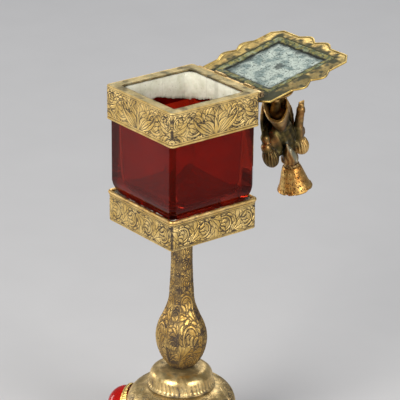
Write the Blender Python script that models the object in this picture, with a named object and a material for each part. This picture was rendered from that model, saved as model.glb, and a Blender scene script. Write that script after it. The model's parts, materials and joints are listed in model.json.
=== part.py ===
"""A standing reliquary in the monstrance family: a square ruby-glass vessel between two engraved gilt
bands, on a baluster stem and a domed foot, closed by a hinged roof lid with a kneeling figure on top.

Sizes are written in millimetres and turned into metres where each mesh is made. Heights are measured
from the surface it stands on. +Z is up, the stem is on the Z axis, and the hinge runs along X behind
the vessel, at +Y. The lid is modelled closed, in its own axes, and its empty turns it open.
"""

from math import cos, pi, radians, sin, sqrt

import bmesh
import bpy
from mathutils import Matrix, Vector

MM = 0.001
GAP = 0.3  # what two pieces that touch keep between them

# Driving sizes
RIM_Z = 178.0  # top of the vessel's mouth
BOX_HALF = 24.0  # half side of the upper band
LOWER_HALF = 23.5  # half side of the lower band
GLASS_HALF = 22.8  # half side of the glass
SHEET = 0.9  # thickness of the gilt sheet
FLOOR_H = 1.5  # thickness of the box's floor
UPPER_BAND_H = 15.65
LOWER_TOP = RIM_Z - 48.9  # top of the lower band's rolled lip
LOWER_BOTTOM = RIM_Z - 63.2
MOUTH_HALF = 18.8  # half side of the opening in the rim
STEM_TURN = radians(-12.4)  # the stem and foot sit turned a little from the box
FOOT_R = 40.0
JEWEL_R = 9.0
JEWEL_Z = 20.8
JEWEL_OUT = 26.4  # from the stem's axis to the back of a jewel's dome
DOME_R = 24.8  # the upright wall of the foot's dome
ROD_R = 2.0
ROD_HOLE_R = 2.6
NUT_R = 4.2
NUT_H = 3.0

# Hinge and lid
HINGE_Y = 25.5
HINGE_DROP = 2.2  # hinge axis below the rim
KNUCKLE_R = 1.2
PIN_R = 0.6
BORE_R = 0.66
OPEN_DEG = 167.5  # how far the lid stands open at rest
ROOF_TOP = 13.6  # top of the lid's roof above the rim, when closed
NECK_Z = 52.3  # bottom of the basket above the rim, when closed
BASKET_TOP = 64.0

RECESS_HALF = 19.3  # half side of the recess in the lid's under side
PLATE_HALF = 15.65

GILT = (0.62, 0.42, 0.13)
DARK_GILT = (0.36, 0.24, 0.09)
IRON = (0.3, 0.28, 0.25)
PLASTER = (0.8, 0.79, 0.74)
RUBY = (0.45, 0.01, 0.01)
TARNISHED_SILVER = (0.5, 0.55, 0.52)
OLIVE = (0.3, 0.28, 0.12)


# Materials and mesh helpers


def material(name, colour, roughness, metallic=0.0, transmission=0.0):
    made = bpy.data.materials.new(name)
    made.use_nodes = True
    shader = made.node_tree.nodes["Principled BSDF"]
    shader.inputs["Base Color"].default_value = (*colour, 1.0)
    shader.inputs["Roughness"].default_value = roughness
    shader.inputs["Metallic"].default_value = metallic
    shader.inputs["Transmission Weight"].default_value = transmission
    made.diffuse_color = (*colour, 1.0)
    return made


def object_from(name, bm, colour, roughness=0.35, metallic=1.0, transmission=0.0, parent=None):
    """Turns a millimetre bmesh into a named object with its own material."""
    bmesh.ops.remove_doubles(bm, verts=bm.verts, dist=1e-5)
    bmesh.ops.recalc_face_normals(bm, faces=bm.faces)
    bmesh.ops.scale(bm, vec=(MM, MM, MM), verts=bm.verts)
    mesh = bpy.data.meshes.new(name)
    bm.to_mesh(mesh)
    bm.free()
    mesh.shade_smooth()
    mesh.set_sharp_from_angle(angle=radians(35))
    mesh.materials.append(material(name, colour, roughness, metallic, transmission))
    made = bpy.data.objects.new(name, mesh)
    bpy.context.scene.collection.objects.link(made)
    made.parent = parent
    return made


def loft(rings, closed_profile=False):
    """Skins a list of rings with equal point counts. A closed profile joins the last ring to the first,
    as in a tube or a band; an open one is capped at both ends."""
    bm = bmesh.new()
    rows = [[bm.verts.new(point) for point in ring] for ring in rings]
    pairs = list(zip(rows, rows[1:]))
    if closed_profile:
        pairs.append((rows[-1], rows[0]))
    else:
        bm.faces.new(rows[0])
        bm.faces.new(list(reversed(rows[-1])))
    for lower, upper in pairs:
        for i, vertex in enumerate(lower):
            j = (i + 1) % len(lower)
            bm.faces.new((vertex, upper[i], upper[j], lower[j]))
    return bm


def circle(radius, z, count=32, phase=0.0):
    turns = [phase + 2 * pi * i / count for i in range(count)]
    return [(radius * cos(turn), radius * sin(turn), z) for turn in turns]


def square(half, z, corner=3.0, steps=4):
    """A square with rounded corners, starting just past the middle of the +X side."""
    points = []
    for k in range(4):
        turn = k * pi / 2
        for i in range(steps + 1):
            bend = pi / 2 * i / steps
            x = half - corner + corner * cos(bend)
            y = half - corner + corner * sin(bend)
            points.append((x * cos(turn) - y * sin(turn), x * sin(turn) + y * cos(turn), z))
    return points


def lathe(profile, count=32, closed_profile=False):
    return loft([circle(radius, z, count) for radius, z in profile], closed_profile)


def band(profile, corner=3.0, steps=4):
    """A square frame from a closed profile of (half side, height); inner corners turn tighter."""
    widest = max(half for half, _ in profile)
    return loft([square(half, z, max(0.8, corner - (widest - half)), steps) for half, z in profile], True)


def arc(centre, radius, start, end, steps):
    """Points of a turned profile along an arc, angles in degrees from the outward direction."""
    turns = [radians(start + (end - start) * i / steps) for i in range(steps + 1)]
    return [(centre[0] + radius * cos(turn), centre[1] + radius * sin(turn)) for turn in turns]


# Foot


def lobed(radius, z, amount, count=48):
    """A circle with eight shallow lobes that meet in cusps."""
    points = []
    for i in range(count):
        turn = 2 * pi * i / count
        swell = amount * (sqrt(abs(cos(4 * turn))) - 0.6)
        points.append(((radius + swell) * cos(turn), (radius + swell) * sin(turn), z))
    return points


def make_foot(stand):
    plate = [(FOOT_R - 4.3, 0.0), (FOOT_R - 4.3, 1.5)]
    object_from("foot_bottom_plate", lathe(plate, 48), DARK_GILT, 0.6, parent=stand)

    outer = [(FOOT_R, 0.0), (FOOT_R + 0.3, 1.2), (FOOT_R - 0.4, 3.2), (37.0, 4.6)]
    outer += [(31.5, 5.9), (27.5, 7.6), (25.6, 9.8)]
    inner = [(24.3, 9.8), (26.3, 6.6), (30.6, 4.7), (FOOT_R - 4.0, 3.2), (FOOT_R - 4.0, 0.0)]
    rings = [lobed(radius, z, 1.6 * max(0.0, radius - 30.0) / 10.0) for radius, z in outer]
    rings += [lobed(radius, z, 0.0) for radius, z in inner]
    object_from("foot_base", loft(rings, True), GILT, parent=stand)

    shoulder, shoulder_r, wall = (15.6, 27.0), 9.2, 1.2
    outer = [(DOME_R, 10.1), (DOME_R, 17.0), *arc(shoulder, shoulder_r, 0, 90, 6), (14.9, 36.3)]
    inner = [(13.6, 36.3), *arc(shoulder, shoulder_r - wall, 90, 0, 4)]
    inner += [(DOME_R - wall, 17.0), (DOME_R - wall, 10.1)]
    object_from("foot_dome", lathe(outer + inner, 36, True), GILT, parent=stand)

    shoulder, shoulder_r = (9.6, 40.5), 4.8
    outer = [(15.5, 36.6), (14.6, 38.0), *arc(shoulder, shoulder_r, 0, 90, 5), (ROD_HOLE_R, 45.3)]
    inner = [(ROD_HOLE_R, 44.1), *arc(shoulder, shoulder_r - wall, 90, 0, 4), (13.2, 36.6)]
    object_from("foot_cap", lathe(outer + inner, 30, True), GILT, parent=stand)


def make_jewels(stand):
    """Four round ruby jewels on the dome, each in its own collet, at the stem's four corners."""
    wall_r = DOME_R + 0.1
    for number in range(4):
        turn = STEM_TURN - 3 * pi / 4 + number * pi / 2
        place = Matrix.Rotation(turn, 4, "Z") @ Matrix.Translation((0, 0, JEWEL_Z))
        place = place @ Matrix.Rotation(pi / 2, 4, "Y")

        dome = [(JEWEL_R - 0.4, JEWEL_OUT - 0.6), *arc((0.0, JEWEL_OUT), JEWEL_R, 0, 75, 5)]
        stone = lathe([*dome, (0.6, JEWEL_OUT + JEWEL_R - 0.02)], 24)
        bmesh.ops.transform(stone, matrix=place, verts=stone.verts)
        object_from(f"jewel_{number + 1}", stone, RUBY, 0.08, 0.0, 0.4, stand)

        def seat(radius, count=24):
            """The collet's back edge, cut to lie on the round dome."""
            ring = circle(radius, 0.0, count)
            return [(x, y, sqrt((wall_r + GAP) ** 2 - y * y)) for x, y, _ in ring]

        top = JEWEL_OUT + 0.5
        rings = [seat(9.9), circle(10.1, top - 0.6, 24), circle(9.7, top, 24), circle(9.35, top, 24)]
        rings += [circle(9.35, JEWEL_OUT - 0.75, 24), seat(8.0)]
        collet = loft(rings, True)
        bmesh.ops.transform(collet, matrix=place, verts=collet.verts)
        object_from(f"collet_{number + 1}", collet, GILT, parent=stand)


# Stem


def stem_section(radius, z):
    """Four broad faces with chamfered corners; radius is measured to the eight edges."""
    half_chamfer = radians(15)
    points = []
    for k in range(4):
        corner = STEM_TURN + pi / 4 + k * pi / 2
        for turn in (corner - half_chamfer, corner + half_chamfer):
            points.append((radius * cos(turn), radius * sin(turn), z))
    return points


def make_stem(stand):
    top = LOWER_BOTTOM - GAP
    below_rim = [(0.0, 5.3), (6.0, 5.0), (15.0, 4.9), (22.0, 5.1), (30.0, 5.5), (37.0, 6.2), (42.5, 8.2)]
    below_rim += [(47.0, 10.3), (51.5, 11.5), (55.0, 11.75), (58.5, 11.3), (61.5, 10.5), (64.5, 9.2)]
    below_rim += [(67.0, 7.4), (68.4, 6.0)]
    outer = [stem_section(radius, top - drop) for drop, radius in below_rim]
    bottom = top - below_rim[-1][0]
    bore = [stem_section(ROD_HOLE_R, bottom), stem_section(ROD_HOLE_R, top)]
    object_from("stem_baluster", loft(outer + bore, True), DARK_GILT, 0.4, parent=stand)

    nut_low = LOWER_BOTTOM + FLOOR_H + GAP
    rod = lathe([(ROD_R, 38.4), (ROD_R, nut_low + NUT_H + 0.4)], 16)
    object_from("tie_rod", rod, IRON, 0.5, parent=stand)
    washer = [(7.0, 42.6), (7.0, 43.7), (ROD_HOLE_R, 43.7), (ROD_HOLE_R, 42.6)]
    object_from("foot_washer", lathe(washer, 24, True), DARK_GILT, 0.5, parent=stand)
    for name, low in (("foot_nut", 39.2), ("floor_nut", nut_low)):
        nut = [(NUT_R, low), (NUT_R, low + NUT_H), (ROD_R + GAP, low + NUT_H), (ROD_R + GAP, low)]
        object_from(name, lathe(nut, 6, True), IRON, 0.5, parent=stand)


# Vessel


def ring_hole(half, radius, low, high, count=20):
    """A square plate with a round hole."""
    outer = [square(half, z, 2.0, 4) for z in (low, high)]
    # The hole's first point lies on the same side as the square's, so that the faces between don't twist
    inner = [circle(radius, z, count, pi / 20) for z in (high, low)]
    return loft(outer + inner, True)


def make_lower_mount(stand):
    floor = ring_hole(LOWER_HALF - SHEET - GAP, ROD_HOLE_R, LOWER_BOTTOM, LOWER_BOTTOM + FLOOR_H)
    object_from("box_floor", floor, GILT, 0.4, parent=stand)

    inside, wall_top = LOWER_HALF - SHEET, LOWER_TOP - 2.1
    wall = [(LOWER_HALF - 0.25, LOWER_BOTTOM), (LOWER_HALF, LOWER_BOTTOM + 0.4), (LOWER_HALF, wall_top)]
    wall += [(inside, wall_top), (inside, LOWER_BOTTOM)]
    object_from("lower_band", band(wall), GILT, parent=stand)

    low, high = LOWER_TOP - 1.8, LOWER_TOP
    lip = [(LOWER_HALF - 0.2, low), (LOWER_HALF + 0.4, low + 0.5), (LOWER_HALF + 0.4, high - 0.5)]
    lip += [(LOWER_HALF - 0.1, high), (LOWER_HALF - 0.9, high), (LOWER_HALF - 1.2, high - 0.5)]
    lip += [(LOWER_HALF - 1.2, low)]
    object_from("lower_lip", band(lip), GILT, parent=stand)

    bed_low = LOWER_BOTTOM + 5.3
    outside = ((22.2, bed_low), (22.2, low - GAP), (21.95, low), (21.95, high - 0.2))
    dish = ((21.5, high - 0.2), (20.6, high - 1.4), (19.0, high - 2.8), (17.0, high - 3.6))
    bed = [square(half, z, 2.4) for half, z in outside] + [square(half, z, 2.2) for half, z in dish]
    object_from("lower_bedding", loft(bed), PLASTER, 0.9, 0.0, parent=stand)


def make_glass(stand):
    bottom = LOWER_TOP - 3.2
    top = RIM_Z - 3.0
    outer = [(16.6, bottom), (18.6, bottom + 0.5), (20.4, bottom + 2.1), (21.9, bottom + 4.2)]
    outer += [(22.5, bottom + 6.4), (GLASS_HALF, bottom + 8.4), (GLASS_HALF, top)]
    inner = [(19.95, top), (19.2, RIM_Z - 25.0), (18.5, RIM_Z - 40.0), (17.4, RIM_Z - 44.0)]
    inner += [(14.6, RIM_Z - 46.4), (9.0, RIM_Z - 47.0)]
    rings = [square(half, z, 2.6) for half, z in outer] + [square(half, z, 4.0) for half, z in inner]
    object_from("glass_vessel", loft(rings), RUBY, 0.05, 0.0, 0.8, stand)


def make_upper_mount(stand):
    low = RIM_Z - UPPER_BAND_H
    inside = BOX_HALF - SHEET
    wall = [(BOX_HALF - 0.3, low), (BOX_HALF, low + 0.5), (BOX_HALF, RIM_Z - 0.4), (BOX_HALF - 0.3, RIM_Z)]
    wall += [(inside, RIM_Z), (inside, low)]
    object_from("upper_band", band(wall), GILT, parent=stand)

    rim_half, rim_low, rim_high = inside - GAP, RIM_Z - 1.0, RIM_Z - 0.1
    rim = [(rim_half, rim_low), (rim_half, rim_high), (MOUTH_HALF, rim_high), (MOUTH_HALF, rim_low)]
    object_from("top_rim", loft([square(half, z, 1.6) for half, z in rim], True), GILT, parent=stand)

    high, end = rim_low - GAP, RIM_Z - 9.2
    profile = [(19.6, high), (18.95, high), (18.8, end), (19.35, end)]
    lining = loft([square(half, z, 4.2) for half, z in profile], True)
    object_from("upper_lining", lining, PLASTER, 0.9, 0.0, parent=stand)


# Hinge


def knuckle(name, start, end, parent, tab_height=0.0):
    """One barrel of the hinge along X, about the hinge axis, with a tab up to the lid when it has one."""
    count = 16
    outline = [(y, z) for y, z, _ in circle(KNUCKLE_R, 0.0, count, pi / count)]
    bore = [(y, z) for y, z, _ in circle(BORE_R, 0.0, count, pi / count)]
    if tab_height:
        tab_half, shoulder = 0.98 * KNUCKLE_R, 0.9 * KNUCKLE_R
        tab = {True: (tab_half, tab_height), False: (-tab_half, tab_height)}
        outline = [tab[y > 0] if z > shoulder else (y, z) for y, z in outline]
    rings = []
    for x, ring in ((start, outline), (end, outline), (end, bore), (start, bore)):
        rings.append([(x, y, z) for y, z in ring])
    return object_from(name, loft(rings, True), GILT, parent=parent)


def make_hinge(stand, lid, axis):
    on_rim = {"rim_knuckle_1": (-21.5, -10.0), "rim_knuckle_2": (-2.1, 10.3), "rim_knuckle_3": (17.4, 22.3)}
    for name, (start, end) in on_rim.items():
        knuckle(name, start, end, stand).location = axis
    on_lid = {"lid_knuckle_1": (-9.6, -2.5), "lid_knuckle_2": (10.7, 17.0)}
    for name, (start, end) in on_lid.items():
        knuckle(name, start, end, lid, HINGE_DROP - 0.05)
    head_r = 0.95
    profile = [(PIN_R, -21.8), (PIN_R, 22.6), (head_r, 22.7), (head_r, 23.2), (0.5, 23.5)]
    rings = []
    for radius, x in profile:
        rings.append([(x, y, z) for y, z, _ in circle(radius, 0.0, 16, pi / 16)])
    object_from("hinge_pin", loft(rings), IRON, 0.45, parent=stand).location = axis


# Lid, in closed axes: height 0 is the rim plane, and the mesh is then set about the hinge axis


def lid_object(name, bm, lid, colour, roughness=0.35, metallic=1.0):
    bmesh.ops.translate(bm, vec=(0, -HINGE_Y, HINGE_DROP), verts=bm.verts)
    return object_from(name, bm, colour, roughness, metallic, parent=lid)


def side_reach(along):
    """How far a lobed side swells beyond its straight edge: two lobes with a notch between them."""
    lobe, reach = 11.0, 2.9
    return reach * sin(pi * min(abs(along) / lobe, 1.0)) ** 1.3


def flange_outline(z, inset=0.0):
    """The lid's edge: three lobed sides, two blunt corners and a straight side over the hinge."""
    side_x, front_y, back_y, corner = 26.2, -24.3, HINGE_Y + 1.7, 4.5
    centre_y = 1.0
    front = [side_x - corner - (2 * side_x - 2 * corner) * i / 22 for i in range(23)]
    side = [front_y + corner + (back_y - 3.0 - front_y - corner) * i / 23 for i in range(24)]
    points = [(side_x + side_reach(y - centre_y) - inset, y) for y in reversed(side)]
    points += [(x, front_y - side_reach(x) + inset) for x in front]
    points += [(-side_x - side_reach(y - centre_y) + inset, y) for y in side]
    back_x = side_x - 5.0 - inset
    points += [(back_x * (-1 + 2 * i / 12), back_y - min(inset, 1.0)) for i in range(13)]
    return [(x, y, z) for x, y in points]


def squared_like(outline, half, z):
    """A square ring with one point for each point of the lid's edge, each pressed in along X and Y."""
    reach = 20.0
    pressed = [(max(-reach, min(reach, x)), max(-reach, min(reach, y))) for x, y, _ in outline]
    return [(half * x / reach, half * y / reach, z) for x, y in pressed]


def make_lid_cover(lid):
    outline = flange_outline(0.0)
    top = GAP + SHEET
    rings = [flange_outline(GAP, 0.15), flange_outline(GAP + SHEET / 2), flange_outline(top, 0.3)]
    roof = [(21.6, top + 0.1), (20.4, 2.1), (18.4, 2.7), (14.4, 4.1), (10.4, 6.5), (7.4, 9.4), (5.8, 11.8)]
    roof += [(5.5, 12.6), (6.2, 12.9), (6.2, ROOF_TOP), (1.9, ROOF_TOP)]
    rings += [squared_like(outline, half, z) for half, z in roof]
    under = [(1.9, 12.6), (4.6, 11.6), (6.4, 8.8), (9.4, 5.9), (13.6, 3.3), (17.4, 2.0)]
    under += [(RECESS_HALF - 0.1, 2.0), (RECESS_HALF, GAP)]
    rings += [squared_like(outline, half, z) for half, z in under]
    lid_object("lid_cover", loft(rings, True), lid, GILT)


def make_lid(lid):
    make_lid_cover(lid)
    outside, inside = RECESS_HALF - 0.4, PLATE_HALF + GAP
    profile = [(outside, 0.7), (outside, 1.6), (inside, 1.6), (inside, 0.7)]
    border = loft([square(half, z, 0.9) for half, z in profile], True)
    lid_object("lid_inner_frame", border, lid, OLIVE, 0.6)
    lid_object("lid_inner_plate", ring_hole(PLATE_HALF, 1.9, 1.2, 1.9), lid, TARNISHED_SILVER, 0.55, 0.6)
    stud = [(2.6, 0.5), (2.8, 0.9), (1.5, 0.9), (1.5, ROOF_TOP + 0.1)]
    lid_object("finial_stud", lathe(stud, 16), lid, DARK_GILT, 0.5)


# Finial: a kneeling bearer and the basket it carries


def capsule(bm, start, end, start_r, end_r, sides=12):
    """A round-ended limb between two points, as one closed shape joined into the mesh."""
    start, end = Vector(start), Vector(end)
    along = end - start
    turn = along.to_track_quat("Z", "Y").to_matrix().to_4x4()
    profile = [(start_r * cos(t), start_r * sin(t)) for t in (radians(-70), radians(-35), 0.0)]
    profile += [(end_r * cos(t), along.length + end_r * sin(t)) for t in (0.0, radians(35), radians(70))]
    shape = lathe(profile, sides)
    bmesh.ops.transform(shape, matrix=Matrix.Translation(start) @ turn, verts=shape.verts)
    add_shape(bm, shape)


def add_shape(bm, shape):
    """Joins a closed shape into a mesh, facing out, and frees it."""
    bmesh.ops.recalc_face_normals(shape, faces=shape.faces)
    spare = bpy.data.meshes.new("shape")
    shape.to_mesh(spare)
    shape.free()
    bm.from_mesh(spare)
    bpy.data.meshes.remove(spare)


def make_figure(lid):
    """It kneels on the roof and faces +X, with +Y on its left: puffed sleeves, an open skirt, the right
    arm held straight down, the left hand on its hip and the bearded head turned to its left."""
    base = ROOF_TOP + GAP
    bm = bmesh.new()
    add_shape(bm, lathe([(5.6, base), (5.8, base + 0.9), (4.8, base + 2.6)], 24))

    for side, knee in ((1, (3.4, 3.8, base + 3.4)), (-1, (3.0, -0.6, base + 3.4))):
        hip = (-1.6, 2.4 * side, base + 12.4)
        ankle = (-4.6, 3.2 * side, base + 2.6)
        capsule(bm, hip, knee, 2.9, 2.0)
        capsule(bm, knee, ankle, 1.9, 1.4)
        capsule(bm, ankle, (-6.4, 3.2 * side, base + 1.6), 1.4, 1.1)

    capsule(bm, (-1.2, 0.9, base + 12.5), (-0.9, 0.9, base + 18.0), 4.4, 3.8, 16)
    capsule(bm, (-0.8, 1.2, base + 16.0), (1.2, 3.6, base + 8.6), 3.4, 5.0, 16)
    capsule(bm, (-0.6, -1.4, base + 23.0), (-0.6, 3.8, base + 23.0), 3.9, 3.9, 16)
    capsule(bm, (-0.8, -4.6, base + 29.2), (-0.8, 6.0, base + 29.0), 2.6, 2.6)

    left, right = (-1.2, 9.2, base + 29.6), (-0.4, -7.4, base + 31.0)
    capsule(bm, left, (-1.3, 9.4, base + 27.6), 3.7, 3.5)
    capsule(bm, right, (-0.4, -7.2, base + 29.4), 3.6, 3.4)
    capsule(bm, (-1.7, 9.6, base + 26.0), (-2.6, 9.9, base + 20.6), 2.2, 2.0)
    capsule(bm, (-2.6, 9.9, base + 20.6), (-5.2, 6.0, base + 16.8), 1.9, 1.5)
    capsule(bm, (-0.4, -6.6, base + 27.6), (0.4, -7.0, base + 21.8), 2.6, 2.3)
    capsule(bm, (0.4, -7.0, base + 21.8), (1.6, -9.2, base + 13.4), 2.2, 1.9)
    capsule(bm, (1.6, -9.2, base + 13.4), (2.2, -9.3, base + 10.6), 1.8, 1.4)

    capsule(bm, (-0.4, 0.2, base + 28.0), (0.4, 0.2, base + 33.0), 2.6, 2.6)
    capsule(bm, (0.6, 0.2, base + 33.0), (0.7, 0.3, base + 35.0), 3.4, 3.3, 16)
    capsule(bm, (3.4, 3.4, base + 25.6), (2.2, 1.8, base + 31.6), 0.8, 2.8)
    figure = lid_object("finial_figure", bm, lid, DARK_GILT, 0.45)
    remesh = figure.modifiers.new("join_limbs", "REMESH")
    remesh.mode = "VOXEL"
    remesh.voxel_size = 0.55 * MM
    thin = figure.modifiers.new("thin_out", "DECIMATE")
    thin.ratio = 0.1


def make_basket(lid):
    """A flared cup that stands on the figure's head."""
    outer = [(3.9, NECK_Z), (4.4, NECK_Z + 0.5), (5.4, 56.2), (6.6, 60.4), (8.25, BASKET_TOP)]
    inner = [(7.55, BASKET_TOP), (5.8, 60.0), (4.4, 56.4), (3.0, 54.4)]
    lid_object("finial_basket", lathe(outer + inner, 28), lid, GILT)


def main():
    for old in list(bpy.data.objects):
        bpy.data.objects.remove(old)
    stand = bpy.data.objects.new("stand", None)
    lid = bpy.data.objects.new("lid", None)
    axis = Vector((0.0, HINGE_Y, RIM_Z - HINGE_DROP)) * MM
    lid.location = axis
    lid.rotation_euler.x = -radians(OPEN_DEG)
    for empty in (stand, lid):
        bpy.context.scene.collection.objects.link(empty)

    make_foot(stand)
    make_jewels(stand)
    make_stem(stand)
    make_lower_mount(stand)
    make_glass(stand)
    make_upper_mount(stand)
    make_hinge(stand, lid, axis)
    make_lid(lid)
    make_figure(lid)
    make_basket(lid)


main()
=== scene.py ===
"""Looks for the square standing reliquary: engraved gilt mounts, ruby glass, plaster linings, a tarnished
lid and its kneeling finial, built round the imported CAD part.

Sizes are written in millimetres, taken from the CAD nodes' own boxes where a piece meets them, and turned
into metres where each mesh is made. Lid pieces are modelled closed, with height 0 at the rim, and then
swung about the hinge to where the lid rests.
"""

import json
from itertools import product
from math import cos, pi, radians, sin

import bpy
import numpy as np
from mathutils import Matrix, Vector


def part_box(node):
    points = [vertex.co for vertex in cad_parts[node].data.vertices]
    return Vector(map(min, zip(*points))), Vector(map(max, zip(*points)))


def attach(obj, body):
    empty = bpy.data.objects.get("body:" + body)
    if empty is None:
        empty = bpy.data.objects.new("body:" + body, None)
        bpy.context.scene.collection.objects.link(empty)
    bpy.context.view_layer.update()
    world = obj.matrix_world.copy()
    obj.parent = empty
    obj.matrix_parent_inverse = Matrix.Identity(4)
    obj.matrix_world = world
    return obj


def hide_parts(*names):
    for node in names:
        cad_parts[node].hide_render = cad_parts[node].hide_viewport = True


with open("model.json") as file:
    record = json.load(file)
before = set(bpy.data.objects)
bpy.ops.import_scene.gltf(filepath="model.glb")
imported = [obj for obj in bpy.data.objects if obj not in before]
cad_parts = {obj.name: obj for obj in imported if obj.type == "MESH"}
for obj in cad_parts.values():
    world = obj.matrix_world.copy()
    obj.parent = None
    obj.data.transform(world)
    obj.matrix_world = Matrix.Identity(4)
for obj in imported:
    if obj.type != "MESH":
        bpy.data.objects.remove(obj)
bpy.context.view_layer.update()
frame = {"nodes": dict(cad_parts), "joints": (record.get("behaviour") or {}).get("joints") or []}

MM = 0.001


def low_of(node, axis=2):
    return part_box(node)[0][axis] / MM


def high_of(node, axis=2):
    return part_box(node)[1][axis] / MM


# Driving sizes, from the frame
RIM_Z = high_of("upper_band")
BAND_HALF = high_of("upper_band", 0)
BAND_LOW = low_of("upper_band")
LOWER_HALF = high_of("lower_band", 0)
LOWER_LOW = low_of("lower_band")
LIP_LOW, LIP_HIGH = low_of("lower_lip"), high_of("lower_lip")
LIP_HALF = high_of("lower_lip", 0)
GLASS_LOW, GLASS_HIGH = low_of("glass_vessel"), high_of("glass_vessel")
GLASS_HALF = high_of("glass_vessel", 0)
STEM_TOP, STEM_LOW = high_of("stem_baluster"), low_of("stem_baluster")

HINGE = frame["joints"][0]
HINGE_AT = Vector(HINGE["pos_m"]) / MM
OPEN = radians(HINGE["range_deg"][1])

# Driving sizes of the looks
SHEET = 0.9  # thickness of the gilt sheet
MOUTH_HALF = 18.8
BAND_CORNER = 1.9
STEM_TURN = radians(-12.4)
ROD_HOLE_R = 2.6
DOME_R = 24.8
FOOT_R = 40.0
FOOT_PANELS = 8
LID_HALF = 26.2  # to the lid's straight edges, closed
LID_BACK = HINGE_AT.y + 1.7
ROOF_TOP = 13.6
FIGURE_BASE = ROOF_TOP + 0.3
NECK_Z, BASKET_TOP = 52.3, 64.0

# Gilt finishes, as linear colours: the bright metal, its deeper blotches, the colour of grime and of painted
# shade, how much patina lies on it, how rough it is, and the film over it if it has one
GILT = {
    "engraved_gilt": ((0.98, 0.72, 0.29), (0.74, 0.50, 0.15), (0.028, 0.017, 0.010), 0.3, 0.3, None),
    "worn_rim_gilt": (
        (0.54, 0.42, 0.20), (0.33, 0.26, 0.11), (0.07, 0.06, 0.032), 0.65, 0.38, (0.36, 0.36, 0.24),
    ),
    "rubbed_gilt": ((0.95, 0.68, 0.28), (0.70, 0.44, 0.14), (0.12, 0.08, 0.04), 0.25, 0.24, None),
    "stem_gilt": ((0.70, 0.47, 0.15), (0.42, 0.25, 0.06), (0.040, 0.024, 0.012), 0.35, 0.3, None),
    "foot_gilt": (
        (0.98, 0.72, 0.32), (0.50, 0.35, 0.14), (0.06, 0.045, 0.028), 0.45, 0.25, (0.42, 0.38, 0.22),
    ),
    "collet_gilt": ((0.98, 0.74, 0.26), (0.80, 0.52, 0.13), (0.20, 0.13, 0.05), 0.2, 0.22, None),
    "hinge_gilt": ((0.92, 0.66, 0.30), (0.55, 0.36, 0.13), (0.10, 0.07, 0.04), 0.4, 0.26, None),
    "lid_gilt": ((0.72, 0.52, 0.17), (0.42, 0.29, 0.08), (0.06, 0.06, 0.025), 0.55, 0.34, (0.46, 0.25, 0.08)),
    "basket_gilt": (
        (0.70, 0.48, 0.16), (0.40, 0.19, 0.045), (0.07, 0.028, 0.012), 0.6, 0.3, (0.62, 0.24, 0.04),
    ),
    "plain_gilt": ((0.55, 0.38, 0.15), (0.34, 0.22, 0.08), (0.08, 0.06, 0.04), 0.5, 0.4, None),
}


# Numbers

HASH_PRIMES = (73856093, 19349663, 83492791)


def noise(points, size, seed=0):
    """Smooth lattice noise from -1 to 1 at points in millimetres; size is that of one blotch."""
    scaled = np.asarray(points, float) / size
    cell = np.floor(scaled).astype(np.int64)
    part = scaled - cell
    part = part * part * (3 - 2 * part)
    total = np.zeros(scaled.shape[:-1])
    for corner in product((0, 1), repeat=3):
        mixed = seed * 2654435 + 97
        for axis, prime in enumerate(HASH_PRIMES):
            mixed = mixed ^ (cell[..., axis] + corner[axis]) * prime
        mixed = (mixed ^ (mixed >> 13)) * 1274126177 & 0x7FFFFFFF
        value = (mixed ^ (mixed >> 16)) % 65536 / 32768 - 1
        total += value * np.prod(np.where(corner, part, 1 - part), axis=-1)
    return total


def smooth(low, high, value):
    t = np.clip((value - low) / (high - low), 0, 1)
    return t * t * (3 - 2 * t)


def blotches(points, size, seed, low=0.1, high=0.8):
    """Patches from 0 to 1, where the noise of that size rises from low to high."""
    return smooth(low, high, noise(points, size, seed))


def unit(values):
    return np.clip(values, 0, 1)


def xyz(x, y, z):
    return np.stack(np.broadcast_arrays(x, y, z), axis=-1)


# Meshes


def concavity(points, faces):
    """How far each point lies below the mean of its neighbours, along its normal: positive in hollows."""
    a, b = points[faces[:, 0]], points[faces[:, 1]]
    c, d = points[faces[:, 2]], points[faces[:, -1]]
    face_normal = np.cross(c - a, d - b)
    normal = np.zeros_like(points)
    around = np.zeros_like(points)
    count = np.zeros(len(points))
    for i in range(faces.shape[1]):
        here, after = faces[:, i], faces[:, (i + 1) % faces.shape[1]]
        for axis in range(3):
            normal[:, axis] += np.bincount(here, face_normal[:, axis], len(points))
            around[:, axis] += np.bincount(here, points[after, axis], len(points))
        count += np.bincount(here, minlength=len(points))
    normal /= np.linalg.norm(normal, axis=1, keepdims=True) + 1e-12
    return np.einsum("ij,ij->i", around / np.maximum(count, 1)[:, None] - points, normal)


def spread(values, faces):
    """Each point's value averaged with its neighbours'."""
    total = values.copy()
    count = np.ones(len(values))
    for i in range(4):
        here, after = faces[:, i], faces[:, (i + 1) % 4]
        total += np.bincount(here, values[after], len(values))
        count += np.bincount(here, minlength=len(values))
    return total / count


def mesh_piece(name, points, faces, paint, body, replaced=(), caps=(), sharp=40, **tones):
    """Makes one named piece from points in millimetres and quads, with a float attribute for each tone."""
    points = np.ascontiguousarray(points, float).reshape(-1, 3)
    a, b, c, d = (points[faces[:, i]] for i in range(4))
    volume = np.einsum("ij,ij->", a, np.cross(b, c)) + np.einsum("ij,ij->", a, np.cross(c, d))
    polygons = [tuple(face) for face in (faces if volume > 0 else faces[:, ::-1]).tolist()]
    polygons += [tuple(cap if volume > 0 else cap[::-1]) for cap in caps]
    mesh = bpy.data.meshes.new(name)
    mesh.from_pydata((points * MM).tolist(), [], polygons)
    mesh.shade_smooth()
    mesh.set_sharp_from_angle(angle=radians(sharp))
    for tone, values in tones.items():
        layer = mesh.attributes.new(tone, "FLOAT", "POINT")
        layer.data.foreach_set("value", np.ascontiguousarray(values, np.float32).ravel())
    mesh.materials.append(paint)
    piece = bpy.data.objects.new(name, mesh)
    bpy.context.scene.collection.objects.link(piece)
    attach(piece, body)
    if replaced:
        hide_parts(*replaced)
    return piece


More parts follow.
